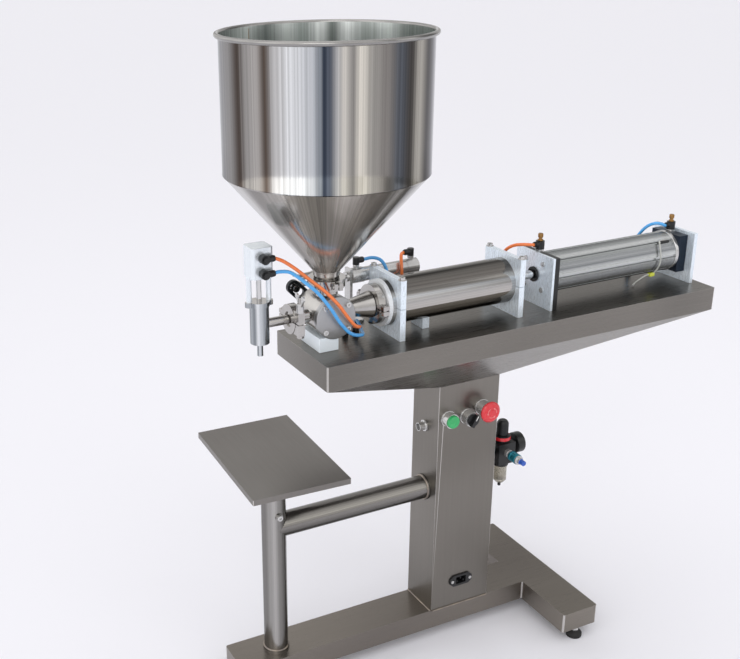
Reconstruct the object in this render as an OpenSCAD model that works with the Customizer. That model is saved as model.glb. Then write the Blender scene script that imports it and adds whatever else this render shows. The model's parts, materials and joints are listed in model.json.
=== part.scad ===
// Single head pneumatic piston filler for creams and pastes, on a column stand.
// +X runs from the nozzle to the air cylinder, the controls face -Y, the floor is z = 0.

/* [Base frame] */
// Gap between the floor and the base frame
feet_h = 25; // [20:1:40]
// Distance from the middle of the machine to the left end of the base beam
beam_left = 487; // [450:1:560]
// Width of the base beam and of the cross foot
beam_w = 80; // [70:1:100]
// Height of the base beam and of the cross foot
beam_h = 40; // [34:1:60]
// Wall of the base frame
frame_wall = 2.5; // [1.5:0.5:4]
// Distance from the middle of the machine to the middle of the cross foot
cross_x = 170; // [150:1:240]
// Length of the cross foot
cross_len = 336; // [280:1:440]
// Radius of a levelling foot
pad_r = 15; // [12:0.5:18]
// Radius of a levelling foot's stud
stud_r = 5; // [4:0.5:6]
// Distance of the levelling feet from the ends of the cross foot
foot_inset = 13; // [12:1:30]

/* [Column] */
// Position of the column's middle along the machine
column_x = -25; // [-40:1:0]
// Width of the column, along the machine
column_w = 130; // [120:1:160]
// Depth of the column
column_d = 84; // [76:1:110]
// Height of the column
column_h = 475; // [440:1:600]
// Wall of the column
column_wall = 2; // [1.5:0.5:3]
// Height of the service cover on the column's back
cover_h = 300; // [200:1:340]
// Width of the service cover
cover_w = 96; // [90:1:110]

/* [Table] */
// Position of the table's middle along the machine
table_x = 75; // [60:1:90]
// Length of the table
table_len = 840; // [830:1:920]
// Width of the table
table_w = 190; // [184:1:240]
// Height of the table's skirt
tray_h = 44; // [30:1:60]
// Thickness of the table's sheet
tray_wall = 2.5; // [1.5:0.5:4]
// Height of the sloped panels under the table
taper_h = 65; // [40:1:100]
// Thickness of the sloped panels, measured upright
taper_wall = 2.5; // [2:0.5:4]

/* [Bottle platform] */
// Position of the platform's post along the machine
post_x = -402; // [-430:1:-380]
// Radius of the post and of its brace
post_r = 22; // [19:0.5:26]
// Wall of the post and of its brace
post_wall = 2.5; // [2:0.5:3]
// Height of the post above the base beam
post_h = 381; // [320:1:420]
// Height of the brace above the base beam
brace_z = 255; // [200:1:300]
// Height of the clamping screw above the base beam
clamp_screw_z = 285; // [240:1:300]
// Length of the platform's stem inside the post
stem_len = 140; // [110:1:160]
// Length of the platform, along the machine
plate_len = 175; // [140:1:180]
// Width of the platform
plate_w = 267; // [200:1:280]
// Height of the platform's folded edge
plate_h = 10; // [8:1:16]
// Turn of the platform about its post
plate_turn = -2.4; // [-4:0.1:4]
// Distance of the platform's middle behind the post
plate_dy = 5; // [0:1:20]

/* [Valve] */
// Position of the valve and of the hopper along the machine
valve_x = -296; // [-300:1:-294]
// Height of the machine's axis above the table
axis_h = 57; // [55:1:70]
// Radius of the valve body
valve_r = 37; // [34:0.5:40]
// Half of the valve body's length
valve_half = 34; // [30:1:40]
// Thickness of the valve's front cover
valve_cover_t = 8; // [6:0.5:10]
// Radius of the rotor
rotor_r = 20; // [18:0.5:22]
// Radius of the rotor's stem
rotor_stem_r = 8; // [6:0.5:9]
// Radius of the passages in the valve
port_r = 9; // [7:0.5:10]
// Position of the block under the valve
block_x = -309; // [-314:1:-304]
// Width of the block under the valve
block_w = 36; // [30:1:44]
// Height of the block under the valve
block_h = 25; // [20:1:28]

/* [Valve drive] */
// Distance of the drive rod's axis above the rotor's axis
crank_h = 30; // [28:1:32]
// Turn of the crank at rest, to each side of upright
crank_swing = 45; // [40:1:48]
// Width of the crank arm
crank_w = 25; // [24:0.5:28]
// Thickness of the crank arm
crank_t = 8; // [6:0.5:8]
// Distance of the crank arm behind the machine's axis
crank_y = 58; // [57:1:62]
// Radius of the pin in the crank's slot
pin_r = 4; // [3:0.5:4.5]
// Sideways room of the pin in the slot
pin_play = 2.75; // [2.6:0.05:3]
// Radius of the drive cylinder
drive_r = 14; // [12:0.5:16]
// Length of the drive cylinder with its end caps
drive_len = 136; // [130:1:150]
// Position of the drive cylinder's front end
drive_x = -212; // [-216:1:-208]

/* [Hopper] */
// Outer radius of the hopper
hopper_r = 167; // [150:1:180]
// Height of the hopper's straight wall
hopper_h = 220; // [180:1:260]
// Height of the hopper's cone
cone_h = 167; // [140:1:200]
// Wall of the hopper
hopper_wall = 1.5; // [1:0.5:3]
// Radius of the bead round the rim
bead_r = 4; // [3:0.5:5]
// Outer radius of the hopper's outlet
outlet_r = 22; // [20:0.5:23]
// Distance from the machine's axis up to the hopper's joint
hopper_joint = 56; // [54:1:62]

/* [Clamped joints] */
// Radius of the large ferrules
ferrule_r = 25.25; // [24:0.25:27]
// Radius of the large clamps
clamp_r = 35; // [34:0.5:36]
// Radius of the nozzle's ferrules
small_ferrule_r = 17; // [15:0.25:18]
// Radius of the nozzle's clamp
small_clamp_r = 25.5; // [25:0.5:28]
// Width of a clamp
clamp_w = 14; // [13:0.5:16]
// Radius of a clamp's bolt
clamp_bolt_r = 3.5; // [3:0.25:4]

/* [Nozzle] */
// Position of the nozzle along the machine
nozzle_x = -420; // [-428:1:-414]
// Position of the nozzle's clamp along the machine
nozzle_clamp_x = -361; // [-364:1:-358]
// Radius of the nozzle's body
nozzle_r = 16; // [14:0.5:18]
// Radius of the outlet tip
tip_r = 5; // [4.5:0.5:6]
// Length of the outlet tip
tip_len = 23; // [18:1:30]
// Height of the nozzle's body
nozzle_h = 65; // [58:1:80]
// Height of the collar on the nozzle's body
collar_h = 8; // [6:1:12]
// Distance from the machine's axis down to the bottom of the body
nozzle_drop = 32; // [28:1:40]
// Half of the distance between the two posts
post_half = 17.5; // [16.5:0.5:20]
// Radius of a post and of the stem
rod_r = 4.5; // [4:0.25:5]
// Free length of the posts
post_gap = 42; // [36:1:60]
// Width of the nozzle's air cylinder
nozzle_cyl_w = 38; // [36:1:44]
// Height of the nozzle's air cylinder
nozzle_cyl_h = 52; // [50:1:70]

/* [Metering cylinder] */
// Position of the clamp at the metering cylinder
joint_x = -206; // [-208:1:-204]
// Left end of the metering cylinder
meter_x = -190; // [-192:1:-188]
// Length of the metering cylinder
meter_len = 264; // [260:1:270]
// Outer radius of the metering cylinder
meter_r = 41.5; // [38:0.5:43]
// Wall of the metering cylinder
meter_wall = 3.5; // [2:0.5:5]
// Length of the metering piston
piston_len = 28; // [20:1:40]
// Radius of the piston rod
main_rod_r = 8; // [6:0.5:10]
// Position of the left pair of clamp plates
left_plate_x = -183; // [-186:1:-180]
// Position of the right pair of clamp plates
right_plate_x = 63; // [60:1:63]
// Thickness of the clamp plates
clamp_plate_t = 11; // [9:0.5:12]
// Width of all plates across the table
plate_span = 105; // [102:1:120]
// Height of the clamp plates
clamp_plate_h = 108; // [104:1:120]
// Gap between the two halves of a clamp plate
split_gap = 1; // [0.5:0.5:2]

/* [Air cylinder] */
// Position of the air cylinder's front plate
air_x = 135; // [130:1:140]
// Thickness of the front plate
air_plate_t = 5; // [4:0.5:8]
// Thickness of the black front cap
air_cap_t = 10; // [10:0.5:14]
// Height of the air cylinder's plates
air_plate_h = 99; // [98:1:104]
// Length of the barrel
barrel_len = 293; // [280:1:300]
// Outer radius of the barrel
barrel_r = 38; // [36:0.5:40]
// Bore radius of the barrel
bore_r = 31.5; // [28:0.5:32]
// Length of the ring behind the barrel
ring_len = 7; // [5:0.5:10]
// Length of the rear cap
rear_cap_len = 21; // [18:1:25]
// Width of the rear cap
rear_cap_w = 72; // [68:1:76]
// Thickness of the rear plate
rear_plate_t = 8; // [5:0.5:9]
// Length of the air piston
air_piston_len = 25; // [18:1:30]

/* [Controls] */
// Height of the push button's middle above the base beam
green_z = 411; // [400:1:420]
// Distance of the push button left of the column's middle
green_dx = 46; // [40:1:47]
// Height of the selector's middle above the base beam
selector_z = 407; // [400:1:420]
// Distance of the selector left of the column's middle
selector_dx = 5; // [2:1:8]
// Height of the stop button's middle above the base beam
stop_z = 419; // [410:1:425]
// Distance of the stop button right of the column's middle
stop_dx = 27; // [26:1:32]
// Radius of the controls' thread in the column
thread_r = 11; // [10:0.5:11.5]
// Radius of the stop button's head
stop_r = 20; // [18:0.5:20.5]
// Height of the power inlet above the base beam
inlet_z = 55; // [40:1:80]
// Height of the pedal socket above the base beam
socket_z = 383; // [370:1:400]

/* [Filter regulator] */
// Height of the regulator body's middle above the base beam
reg_z = 296; // [280:1:320]
// Distance of the regulator's middle from the column's side
reg_out = 39; // [36:1:50]
// Distance of the regulator in front of the column's middle
reg_y = 10; // [0:1:16]
// Width of the regulator's body
reg_w = 38; // [36:1:42]
// Radius of the gauge
gauge_r = 20; // [18:0.5:21]
// Radius of the filter bowl
bowl_r = 13; // [12:0.5:14]

/* [Air tubes] */
// Radius of the air tubes
hose_r = 3; // [2.5:0.25:3.5]
// Radius of the switch cable
cable_r = 1.5; // [1.25:0.25:2]

/* [Hidden] */
$fn = 64;

// Gaps that parts share
fit = 0.05;
clear = 0.3;

// Heights of the machine's storeys
z_beam = feet_h;
z_deck = z_beam + beam_h;
z_column_top = z_deck + column_h;
z_skirt = z_column_top + taper_h;
z_table = z_skirt + tray_h;
z_axis = z_table + axis_h;
z_joint = z_axis + hopper_joint;
z_hopper_foot = z_joint + 18;
z_cone_top = z_hopper_foot + cone_h;
z_rim = z_cone_top + hopper_h;
z_post = z_deck + post_h;
z_plate = z_post + 4;
z_brace = z_deck + brace_z;

// Places along the machine
column_left = column_x - column_w / 2;
column_right = column_x + column_w / 2;
column_front = -column_d / 2;
column_back = column_d / 2;
table_left = table_x - table_len / 2;
table_right = table_x + table_len / 2;
cap_x = air_x + air_plate_t;
barrel_x = cap_x + air_cap_t;
ring_x = barrel_x + barrel_len;
rear_cap_x = ring_x + ring_len;
rear_plate_x = rear_cap_x + rear_cap_len;
foot_spots = [
  [cross_x, -(cross_len / 2 - foot_inset)], [cross_x, cross_len / 2 - foot_inset],
  [foot_inset + 9 - beam_left, -beam_w / 4 - 2], [foot_inset + 9 - beam_left, beam_w / 4 + 2]
];

// Ferrules and clamps
rim_t = 3;
rim_slope = 1.8;
rim_step = 5;
hopper_clamp_r = clamp_r - 3;
long_lug = 20;
short_lug = 8;
cover_screw_ring = valve_r - 7;

// Valve drive
drive_rod_r = 4;
drive_y = crank_y + crank_t + drive_rod_r + clear;
z_drive = z_axis + crank_h;
pin_reach = crank_h * tan(crank_swing);
slot_near = crank_h - pin_r - 3;
slot_far = crank_h / cos(crank_swing) + pin_r + 3;
crank_tip = slot_far + 7;
drive_ports = [drive_x + 12, drive_x + drive_len - 12];
z_elbow = z_drive + drive_r + 13;

// Nozzle
z_nozzle = z_axis - nozzle_drop;
z_collar = z_nozzle + nozzle_h;
z_posts = z_collar + collar_h;
z_nozzle_cyl = z_posts + post_gap;
nozzle_bore = nozzle_r - 5;
nozzle_piston_r = nozzle_cyl_w / 2 - 5;
nozzle_ports = [z_nozzle_cyl + 35, z_nozzle_cyl + 10];
banjo_y = -nozzle_cyl_w / 2 - 7;

// Metering piston, plates and their screws
head_t = 8;
saddle_x = -109;
plate_bolt_y = (meter_r + plate_span / 2) / 2;
end_screw = 24.5;
gland_r = 14;
needle_r = 3;
front_port = [cap_x + air_cap_t / 2, z_table + air_plate_h];
rear_port = [rear_cap_x + rear_cap_len / 2, z_axis + rear_cap_w / 2];
spigot_len = 6;
piston_x = meter_x + spigot_len + 1;
meter_bore = meter_r - meter_wall;
rod_start = piston_x + 6;
air_piston_x = barrel_x + 2;

// Controls and regulator
button_r = 8;
cap_r = 12;
inlet_w = 28;
inlet_h = 20;
inlet_flange = 50;
inlet_screws = 40;
socket_r = 8;
nipple_r = 5;
knob_r = 11;
green_x = column_x - green_dx;
selector_x = column_x - selector_dx;
stop_x = column_x + stop_dx;
reg_x = column_right + reg_out;
z_reg = z_deck + reg_z;
reg_h = 43;
z_gauge = z_reg + 9;
gauge_x = reg_x + reg_w / 2 + 8;
coupler_y = -reg_y - reg_w / 2;
z_coupler = z_reg + 3;

// Bulkhead fittings in the table, as [x, y]
nozzle_bulkheads = [[-247, 24], [-228, 20]];
drive_bulkheads = [[-147, 52], [-118, 52]];
air_bulkheads = [[100, 62], [420, 58]];
bulkheads = concat(nozzle_bulkheads, drive_bulkheads, air_bulkheads);
bulkhead_h = 14;
// Play of a tube in its fitting
tube_play = 0.3;
z_bulkhead = z_table + bulkhead_h;

// Routes of the air tubes between their fittings, chosen by hand, as [x, y, height above the table]
nozzle_orange_route = [
  [-404, -26, 175], [-394, -26, 171], [-384, -27, 165], [-366, -30, 151], [-342, -37, 129],
  [-322, -45, 111], [-300, -49, 86], [-283, -50, 62], [-268, -48, 44], [-255, -41, 37], [-251, -26, 31],
  [-249, -8, 26], [-247, 10, 27], [-247, 21, 25]
];
nozzle_blue_route = [
  [-404, -26, 150], [-395, -26, 151], [-379, -30, 149], [-366, -34, 140], [-353, -40, 128],
  [-336, -47, 111], [-316, -51, 84], [-300, -52, 58], [-283, -51, 37], [-268, -48, 27], [-252, -42, 22],
  [-242, -29, 18], [-235, -11, 18], [-230, 7, 23], [-228, 17, 24]
];
drive_blue_route = [
  [-182, 70.3, 114], [-168, 68, 115], [-156, 60, 111], [-150, 52, 98], [-148, 50, 80],
  [-147, 50, 50], [-147, 52, 24]
];
drive_orange_route = [
  [-103, 70.3, 114], [-109.5, 66.5, 112.5], [-114, 59.5, 105.5], [-117, 53, 95], [-118, 50, 78],
  [-118, 50, 50], [-118, 52, 24]
];
front_orange_route = [
  [130, 0, 113], [121, 3, 114], [112, 9, 114], [103, 20, 111], [97, 34, 101], [95, 48, 82],
  [96, 56, 60], [99, 61, 38], [100, 62, 24]
];
rear_blue_route = [
  [445, 0, 107], [437, 2, 110.5], [428, 9, 111], [421, 20, 104], [418, 34, 88], [418, 45, 70],
  [419, 50, 52], [420, 56, 34], [420, 58, 22]
];

// Route of the switch cable, as [x, y, height above the axis]
switch_route = [
  [410, -27, 27], [405, -30, 30], [402, -36, 22], [401, -41, 8], [401, -42, -6], [400, -39, -18],
  [398, -34, -27], [396, -31, -31]
];
switch_tail_route = [[388, -31, -32], [380, -30, -33], [370, -28, -38], [361, -24, -46], [358, -22, -52]];
switch_hole = [358, -22];

function unit(v) = v / norm(v);
function at(p, i) = p[max(0, min(len(p) - 1, i))];
function blend(a, b, c, d, t) =
  0.5 * (2 * b + (c - a) * t + (2 * a - 5 * b + 4 * c - d) * t * t + (3 * b - a - 3 * c + d) * t * t * t);
function smooth(p, n) = concat(
  [for (i = [0 : len(p) - 2]) for (k = [0 : n - 1])
    blend(at(p, i - 1), p[i], p[i + 1], at(p, i + 2), k / n)],
  [at(p, len(p) - 1)]
);
function heading(p) = [for (i = [0 : len(p) - 1]) unit(at(p, i + 1) - at(p, i - 1))];
function across(v, t) = unit(v - (v * t) * t);
function carried(t, i, v) =
  i == len(t) ? [] : let (w = across(v, t[i])) concat([w], carried(t, i + 1, w));

// A round tube along a route, from ring to ring
module hose(route, r, sides = 8, steps = 2) {
  path = smooth(route, steps);
  ahead = heading(path);
  side = carried(ahead, 0, abs(ahead[0][2]) > 0.8 ? [0, 1, 0] : [0, 0, 1]);
  rings = [for (i = [0 : len(path) - 1]) for (k = [0 : sides - 1])
    path[i] + r * (cos(360 * k / sides) * side[i] + sin(360 * k / sides) * cross(ahead[i], side[i]))];
  last = (len(path) - 1) * sides;
  walls = [for (i = [0 : len(path) - 2]) for (k = [0 : sides - 1])
    for (half = [0, 1]) let (a = i * sides + k, b = i * sides + (k + 1) % sides)
      half == 0 ? [a, b + sides, b] : [a, a + sides, b + sides]];
  ends = [for (k = [1 : sides - 2]) for (end = [0, 1])
    end == 0 ? [0, k, k + 1] : [last, last + k + 1, last + k]];
  polyhedron(rings, concat(walls, ends));
}

module rod_x(r, from, to) translate([from, 0, 0]) rotate([0, 90, 0]) cylinder(r = r, h = to - from);
module rod_y(r, from, to) translate([0, from, 0]) rotate([-90, 0, 0]) cylinder(r = r, h = to - from);
module rod_z(r, from, to) translate([0, 0, from]) cylinder(r = r, h = to - from);
module cone_x(r1, r2, from, to)
  translate([from, 0, 0]) rotate([0, 90, 0]) cylinder(r1 = r1, r2 = r2, h = to - from);
module hex_z(r, from, to) translate([0, 0, from]) cylinder(r = r, h = to - from, $fn = 6);
module block(size) translate([-size[0] / 2, -size[1] / 2, 0]) cube(size);

// Outline of one ferrule, turned about z: the rim lies on z = 0 and the pipe runs up
module ferrule(rim, pipe, length) {
  cylinder(r = rim, h = rim_t);
  translate([0, 0, rim_t]) cylinder(r1 = rim, r2 = rim - rim_step, h = rim_slope);
  cylinder(r = pipe, h = length);
}

// Levelling feet and base frame

module base_frame() color("silver") difference() {
  union() {
    difference() {
      union() {
        translate([-beam_left, -beam_w / 2, z_beam])
          cube([beam_left + cross_x + beam_w / 2, beam_w, beam_h]);
        translate([cross_x, 0, z_beam]) block([beam_w, cross_len, beam_h]);
      }
      translate([frame_wall - beam_left, frame_wall - beam_w / 2, z_beam + frame_wall]) cube([
        beam_left + cross_x + beam_w / 2 - 2 * frame_wall, beam_w - 2 * frame_wall,
        beam_h - 2 * frame_wall
      ]);
      translate([cross_x, 0, z_beam + frame_wall]) block([
        beam_w - 2 * frame_wall, cross_len - 2 * frame_wall, beam_h - 2 * frame_wall
      ]);
    }
    for (spot = foot_spots)
      translate([spot[0], spot[1], 0]) rod_z(stud_r + 4, z_beam + frame_wall / 2, z_beam + frame_wall + 10);
  }
  for (spot = foot_spots)
    translate([spot[0], spot[1], 0]) rod_z(stud_r + fit, z_beam - 1, z_beam + frame_wall + 11);
}

module levelling_feet() color("dimgray")
  for (spot = foot_spots) translate([spot[0], spot[1], 0]) {
    cylinder(r = pad_r, h = 8);
    translate([0, 0, 8]) cylinder(r1 = pad_r, r2 = stud_r + 3, h = 6);
    rod_z(stud_r, 0, z_beam + frame_wall + 14);
  }

// Column

module cover_openings() {
  translate([column_x, column_back - column_wall / 2, z_deck + column_h / 2])
    cube([cover_w - 24, column_wall * 3, cover_h - 24], center = true);
  for (x = [-1, 1], z = [-1, 1])
    translate([column_x + x * (cover_w / 2 - 6), 0, z_deck + column_h / 2 + z * (cover_h / 2 - 6)])
      rod_y(2, column_back - column_wall - 1, column_back + 1);
}

module column() color("silver") difference() {
  translate([column_x, 0, z_deck]) block([column_w, column_d, column_h]);
  translate([column_x, 0, z_deck - 1])
    block([column_w - 2 * column_wall, column_d - 2 * column_wall, column_h + 2]);
  for (spot = [[green_x, green_z], [selector_x, selector_z], [stop_x, stop_z]])
    translate([spot[0], 0, z_deck + spot[1]]) rod_y(thread_r + fit, column_front - 1, column_front + 5);
  translate([column_x, column_front, z_deck + inlet_z])
    cube([inlet_w, 3 * column_wall, inlet_h], center = true);
  for (x = [-1, 1])
    translate([column_x + x * inlet_screws / 2, 0, z_deck + inlet_z]) rod_y(1.5, column_front - 1, 0);
  translate([0, 0, z_deck + socket_z]) rod_x(socket_r, column_left - 1, column_x);
  translate([0, -reg_y, z_reg]) rod_x(nipple_r, column_x, column_right + 1);
  cover_openings();
}

module column_back_cover() color("gainsboro") difference() {
  translate([column_x - cover_w / 2, column_back, z_deck + column_h / 2 - cover_h / 2])
    cube([cover_w, column_wall, cover_h]);
  for (x = [-1, 1], z = [-1, 1])
    translate([column_x + x * (cover_w / 2 - 6), 0, z_deck + column_h / 2 + z * (cover_h / 2 - 6)])
      rod_y(2, column_back - 1, column_back + column_wall + 1);
}

// Table

module table_tray() color("silver") difference() {
  translate([table_x, 0, z_skirt]) block([table_len, table_w, tray_h]);
  translate([table_x, 0, z_skirt - 1])
    block([table_len - 2 * tray_wall, table_w - 2 * tray_wall, tray_h - tray_wall + 1]);
  for (spot = bulkheads)
    translate([spot[0], spot[1], 0]) rod_z(hose_r + 2, z_table - tray_wall - 1, z_table + 1);
  translate([switch_hole[0], switch_hole[1], 0]) rod_z(cable_r + 1, z_table - tray_wall - 1, z_table + 1);
}

// The sloped panels between the column and the table, filled, as the meeting of two wedges
module wedge(shift) {
  low = z_column_top + shift;
  high = z_skirt + shift;
  intersection() {
    translate([0, table_w, 0]) rotate([90, 0, 0]) linear_extrude(2 * table_w)
      polygon([[column_left, low], [column_right, low], [table_right, high], [table_left, high]]);
    translate([table_x - table_len, 0, 0]) rotate([90, 0, 90]) linear_extrude(2 * table_len)
      polygon([[column_front, low], [column_back, low], [table_w / 2, high], [-table_w / 2, high]]);
  }
}

module table_underside() color("gray") difference() {
  wedge(0);
  wedge(taper_wall);
  translate([column_x, 0, z_column_top - 1])
    block([column_w - 2 * column_wall, column_d - 2 * column_wall, taper_wall + 2]);
}

// Bottle platform

module platform_post() color("silver") translate([post_x, 0, 0]) difference() {
  union() {
    rod_z(post_r, z_deck, z_post);
    rod_z(post_r + 2, z_deck, z_deck + 4);
    translate([0, 0, z_deck + clamp_screw_z]) rod_y(7, -post_r - 3, 0);
  }
  rod_z(post_r - post_wall, z_deck - 1, z_post + 1);
  translate([0, 0, z_deck + clamp_screw_z]) rod_y(3, -post_r - 5, 0);
}

module post_brace() color("silver") difference() {
  translate([0, 0, z_brace]) union() {
    rod_x(post_r, post_x, column_left);
    rod_x(post_r + 3, column_left - 3, column_left);
  }
  translate([0, 0, z_brace]) rod_x(post_r - post_wall, post_x, column_left + 1);
  translate([post_x, 0, 0]) rod_z(post_r, z_deck, z_post);
}

module platform() color("silver") translate([post_x, 0, 0]) {
  difference() {
    rod_z(post_r - post_wall - clear, z_post - stem_len, z_plate + plate_h - 1);
    rod_z(post_r - 2 * post_wall - clear, z_post - 1 - stem_len, z_plate);
  }
  rod_z(post_r, z_post, z_plate);
  rotate([0, 0, plate_turn]) translate([0, plate_dy, z_plate]) difference() {
    block([plate_len, plate_w, plate_h]);
    translate([0, 0, -1]) block([plate_len - 4, plate_w - 4, plate_h - 1]);
  }
  translate([0, plate_dy, z_plate]) rod_z(post_r + 12, plate_h - 5, plate_h - 1);
}

// Rotary valve

module valve_block() color("lightgray") difference() {
  translate([block_x, 0, z_table]) block([block_w, 2 * valve_half, block_h]);
  translate([valve_x, 0, z_axis]) rod_y(valve_r, -valve_half - 1, valve_half + 1);
}

module valve_body() color("silver") difference() {
  union() {
    translate([valve_x, 0, z_axis]) rod_y(valve_r, valve_cover_t - valve_half, valve_half);
    translate([nozzle_clamp_x, 0, z_axis]) rotate([0, 90, 0])
      ferrule(small_ferrule_r, port_r + 2, valve_x - nozzle_clamp_x);
    translate([valve_x, 0, z_joint]) rotate([180, 0, 0]) ferrule(ferrule_r, port_r + 10, hopper_joint);
    translate([joint_x, 0, z_axis]) rotate([0, -90, 0]) ferrule(ferrule_r, ferrule_r - rim_step, clamp_w);
    translate([0, 0, z_axis]) {
      cone_x(port_r + 4, ferrule_r - 2, joint_x - 53, joint_x - clamp_w / 2 - 1);
      rod_x(port_r + 4, valve_x, joint_x - 53);
    }
  }
  translate([valve_x, 0, z_axis]) {
    rod_y(rotor_r + fit, -valve_half - 1, valve_half - 4);
    rod_y(rotor_stem_r + fit, 0, valve_half + 1);
    rod_x(port_r, 0, joint_x - valve_x + 1);
    rod_x(port_r - 3, nozzle_clamp_x - valve_x - 1, 0);
    rod_z(port_r, 0, hopper_joint - 20);
    translate([0, 0, hopper_joint - 20]) cylinder(r1 = port_r, r2 = port_r + 7, h = 20.01);
    for (a = [45 : 90 : 315])
      rotate([0, a, 0]) translate([cover_screw_ring, 0, 0]) rod_y(2.5, -valve_half, -valve_half + 20);
  }
}

module valve_cover() color("lightgray") translate([valve_x, 0, z_axis]) difference() {
  union() {
    rod_y(valve_r, -valve_half, valve_cover_t - valve_half);
    translate([0, -valve_half - 1.5, 0]) rotate([-90, 0, 0])
      cylinder(r1 = valve_r - 1.5, r2 = valve_r, h = 1.5);
  }
  for (a = [45 : 90 : 315])
    rotate([0, a, 0]) translate([cover_screw_ring, 0, 0]) rod_y(2.5, -valve_half - 3, 0);
}

module valve_rotor() color("gainsboro") translate([valve_x, 0, z_axis]) difference() {
  union() {
    rod_y(rotor_r, valve_cover_t - valve_half + 0.5, valve_half - 4.5);
    rod_y(rotor_stem_r, 0, crank_y + crank_t + 3);
  }
  rod_z(port_r, -rotor_r - 1, rotor_r + 1);
  rod_x(port_r, 0, rotor_r + 1);
}

// Valve drive

module crank_arm() color("darkslategray")
  translate([valve_x, 0, z_axis]) rotate([0, -crank_swing, 0]) difference() {
    union() {
      rod_y(crank_w / 2, crank_y, crank_y + crank_t);
      rod_y(rotor_stem_r + 4, crank_y - 8, crank_y + crank_t);
      translate([-crank_w / 2, crank_y, 0]) cube([crank_w, crank_t, crank_tip - crank_w / 2]);
      translate([0, 0, crank_tip - crank_w / 2]) rod_y(crank_w / 2, crank_y, crank_y + crank_t);
    }
    rod_y(rotor_stem_r, crank_y - 9, crank_y + crank_t + 1);
    translate([-pin_r - pin_play, crank_y - 1, slot_near + pin_r]) cube([
      2 * (pin_r + pin_play), crank_t + 2, slot_far - slot_near - 2 * pin_r
    ]);
    for (z = [slot_near + pin_r, slot_far - pin_r])
      translate([0, 0, z]) rod_y(pin_r + pin_play, crank_y - 1, crank_y + crank_t + 1);
  }

module drive_rod() color("silver") translate([valve_x - pin_reach, 0, z_drive]) {
  rod_y(pin_r, crank_y - 6, drive_y - 4);
  rod_y(pin_r + 2.5, crank_y - 6, crank_y - clear);
  rod_y(9, drive_y - 4, drive_y + 4);
  translate([0, drive_y - 4, -6]) cube([20, 8, 12]);
  translate([0, drive_y, 0]) {
    rod_x(drive_rod_r, 18, drive_x - valve_x + pin_reach + 12);
    rod_x(drive_r - 2.5 - fit, drive_x - valve_x + pin_reach + 12, drive_x - valve_x + pin_reach + 22);
  }
}

module drive_cylinder() color("lightgray") {
  translate([0, drive_y, z_drive]) difference() {
    union() {
      rod_x(drive_r, drive_x, drive_x + 24);
      rod_x(drive_r - 1, drive_x + 24, drive_x + drive_len - 24);
      rod_x(drive_r, drive_x + drive_len - 24, drive_x + drive_len);
      rod_x(9, drive_x - 10, drive_x);
      for (x = drive_ports) translate([x, 0, 0]) rod_z(5, 0, drive_r + 2);
    }
    rod_x(drive_rod_r + fit, drive_x - 11, drive_x + 12);
    rod_x(drive_r - 2.5, drive_x + 11, drive_x + drive_len - 12);
  }
  difference() {
    translate([drive_x - 5, drive_y - 10, z_table]) cube([5, 20, axis_h + crank_h + 15]);
    translate([0, drive_y, z_drive]) rod_x(9, drive_x - 11, drive_x + 1);
  }
  translate([drive_x - 5, drive_y - 10, z_table]) cube([29, 20, 5]);
}

// Hopper

module hopper() color("silver") translate([valve_x, 0, 0]) {
  difference() {
    rod_z(hopper_r, z_cone_top, z_rim - bead_r);
    rod_z(hopper_r - hopper_wall, z_cone_top - 1, z_rim + 1);
  }
  translate([0, 0, z_rim - bead_r]) rotate_extrude() translate([hopper_r + bead_r - hopper_wall, 0])
    circle(r = bead_r, $fn = 32);
}

// The hopper's cone and outlet, welded under its straight wall
module hopper_cone() color("silver") translate([valve_x, 0, 0]) {
  slope = (hopper_r - outlet_r) / cone_h;
  drop = hopper_wall * sqrt(1 + slope * slope) - hopper_wall * slope;
  difference() {
    union() {
      translate([0, 0, z_joint]) ferrule(ferrule_r, outlet_r - 3, z_hopper_foot - z_joint);
      rod_z(outlet_r, z_hopper_foot - 8, z_hopper_foot);
      translate([0, 0, z_hopper_foot]) cylinder(r1 = outlet_r, r2 = hopper_r, h = cone_h);
    }
    rod_z(port_r + 7, z_joint - 1, z_hopper_foot);
    translate([0, 0, z_hopper_foot - 0.01])
      cylinder(r1 = port_r + 7, r2 = hopper_r - hopper_wall, h = cone_h + 0.01 + drop);
  }
}

// Clamped joints

module clamp_section(outer, rim) {
  lip = rim - rim_step + 1;
  deep = rim_t - clear * rim_slope / rim_step;
  edge = rim_t + (rim - lip) * rim_slope / rim_step;
  polygon([
    [outer, -clamp_w / 2], [outer, clamp_w / 2], [lip, clamp_w / 2], [lip, edge], [rim + clear, deep],
    [rim + clear, -deep], [lip, -edge], [lip, -clamp_w / 2]
  ]);
}

// A clamp round a joint on z = 0: its bolt stands along y at +x, its hinge at -x
module tri_clamp(outer, rim, lug) {
  difference() {
    union() {
      rotate_extrude() clamp_section(outer, rim);
      for (side = [-1, 1]) difference() {
        half = side > 0 ? lug : short_lug;
        translate([side > 0 ? outer - 8 : -outer - 11, -half, 1 - clamp_w / 2])
          cube([19, 2 * half, clamp_w - 2]);
        translate([0, 0, -clamp_w]) cylinder(r = outer - 1, h = 2 * clamp_w);
      }
    }
    translate([-outer - 20, -1, -clamp_w]) cube([2 * outer + 40, 2, 2 * clamp_w]);
  }
  translate([outer + 6, 0, 0]) {
    rod_y(clamp_bolt_r, -2, lug + 24);
    translate([0, -lug, 0]) rotate([90, 0, 0]) hex_z(clamp_bolt_r + 2.5, 0, 4);
  }
  translate([-outer - 6, 0, 0]) rod_y(clamp_bolt_r, -short_lug - 2, short_lug + 2);
}

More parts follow.
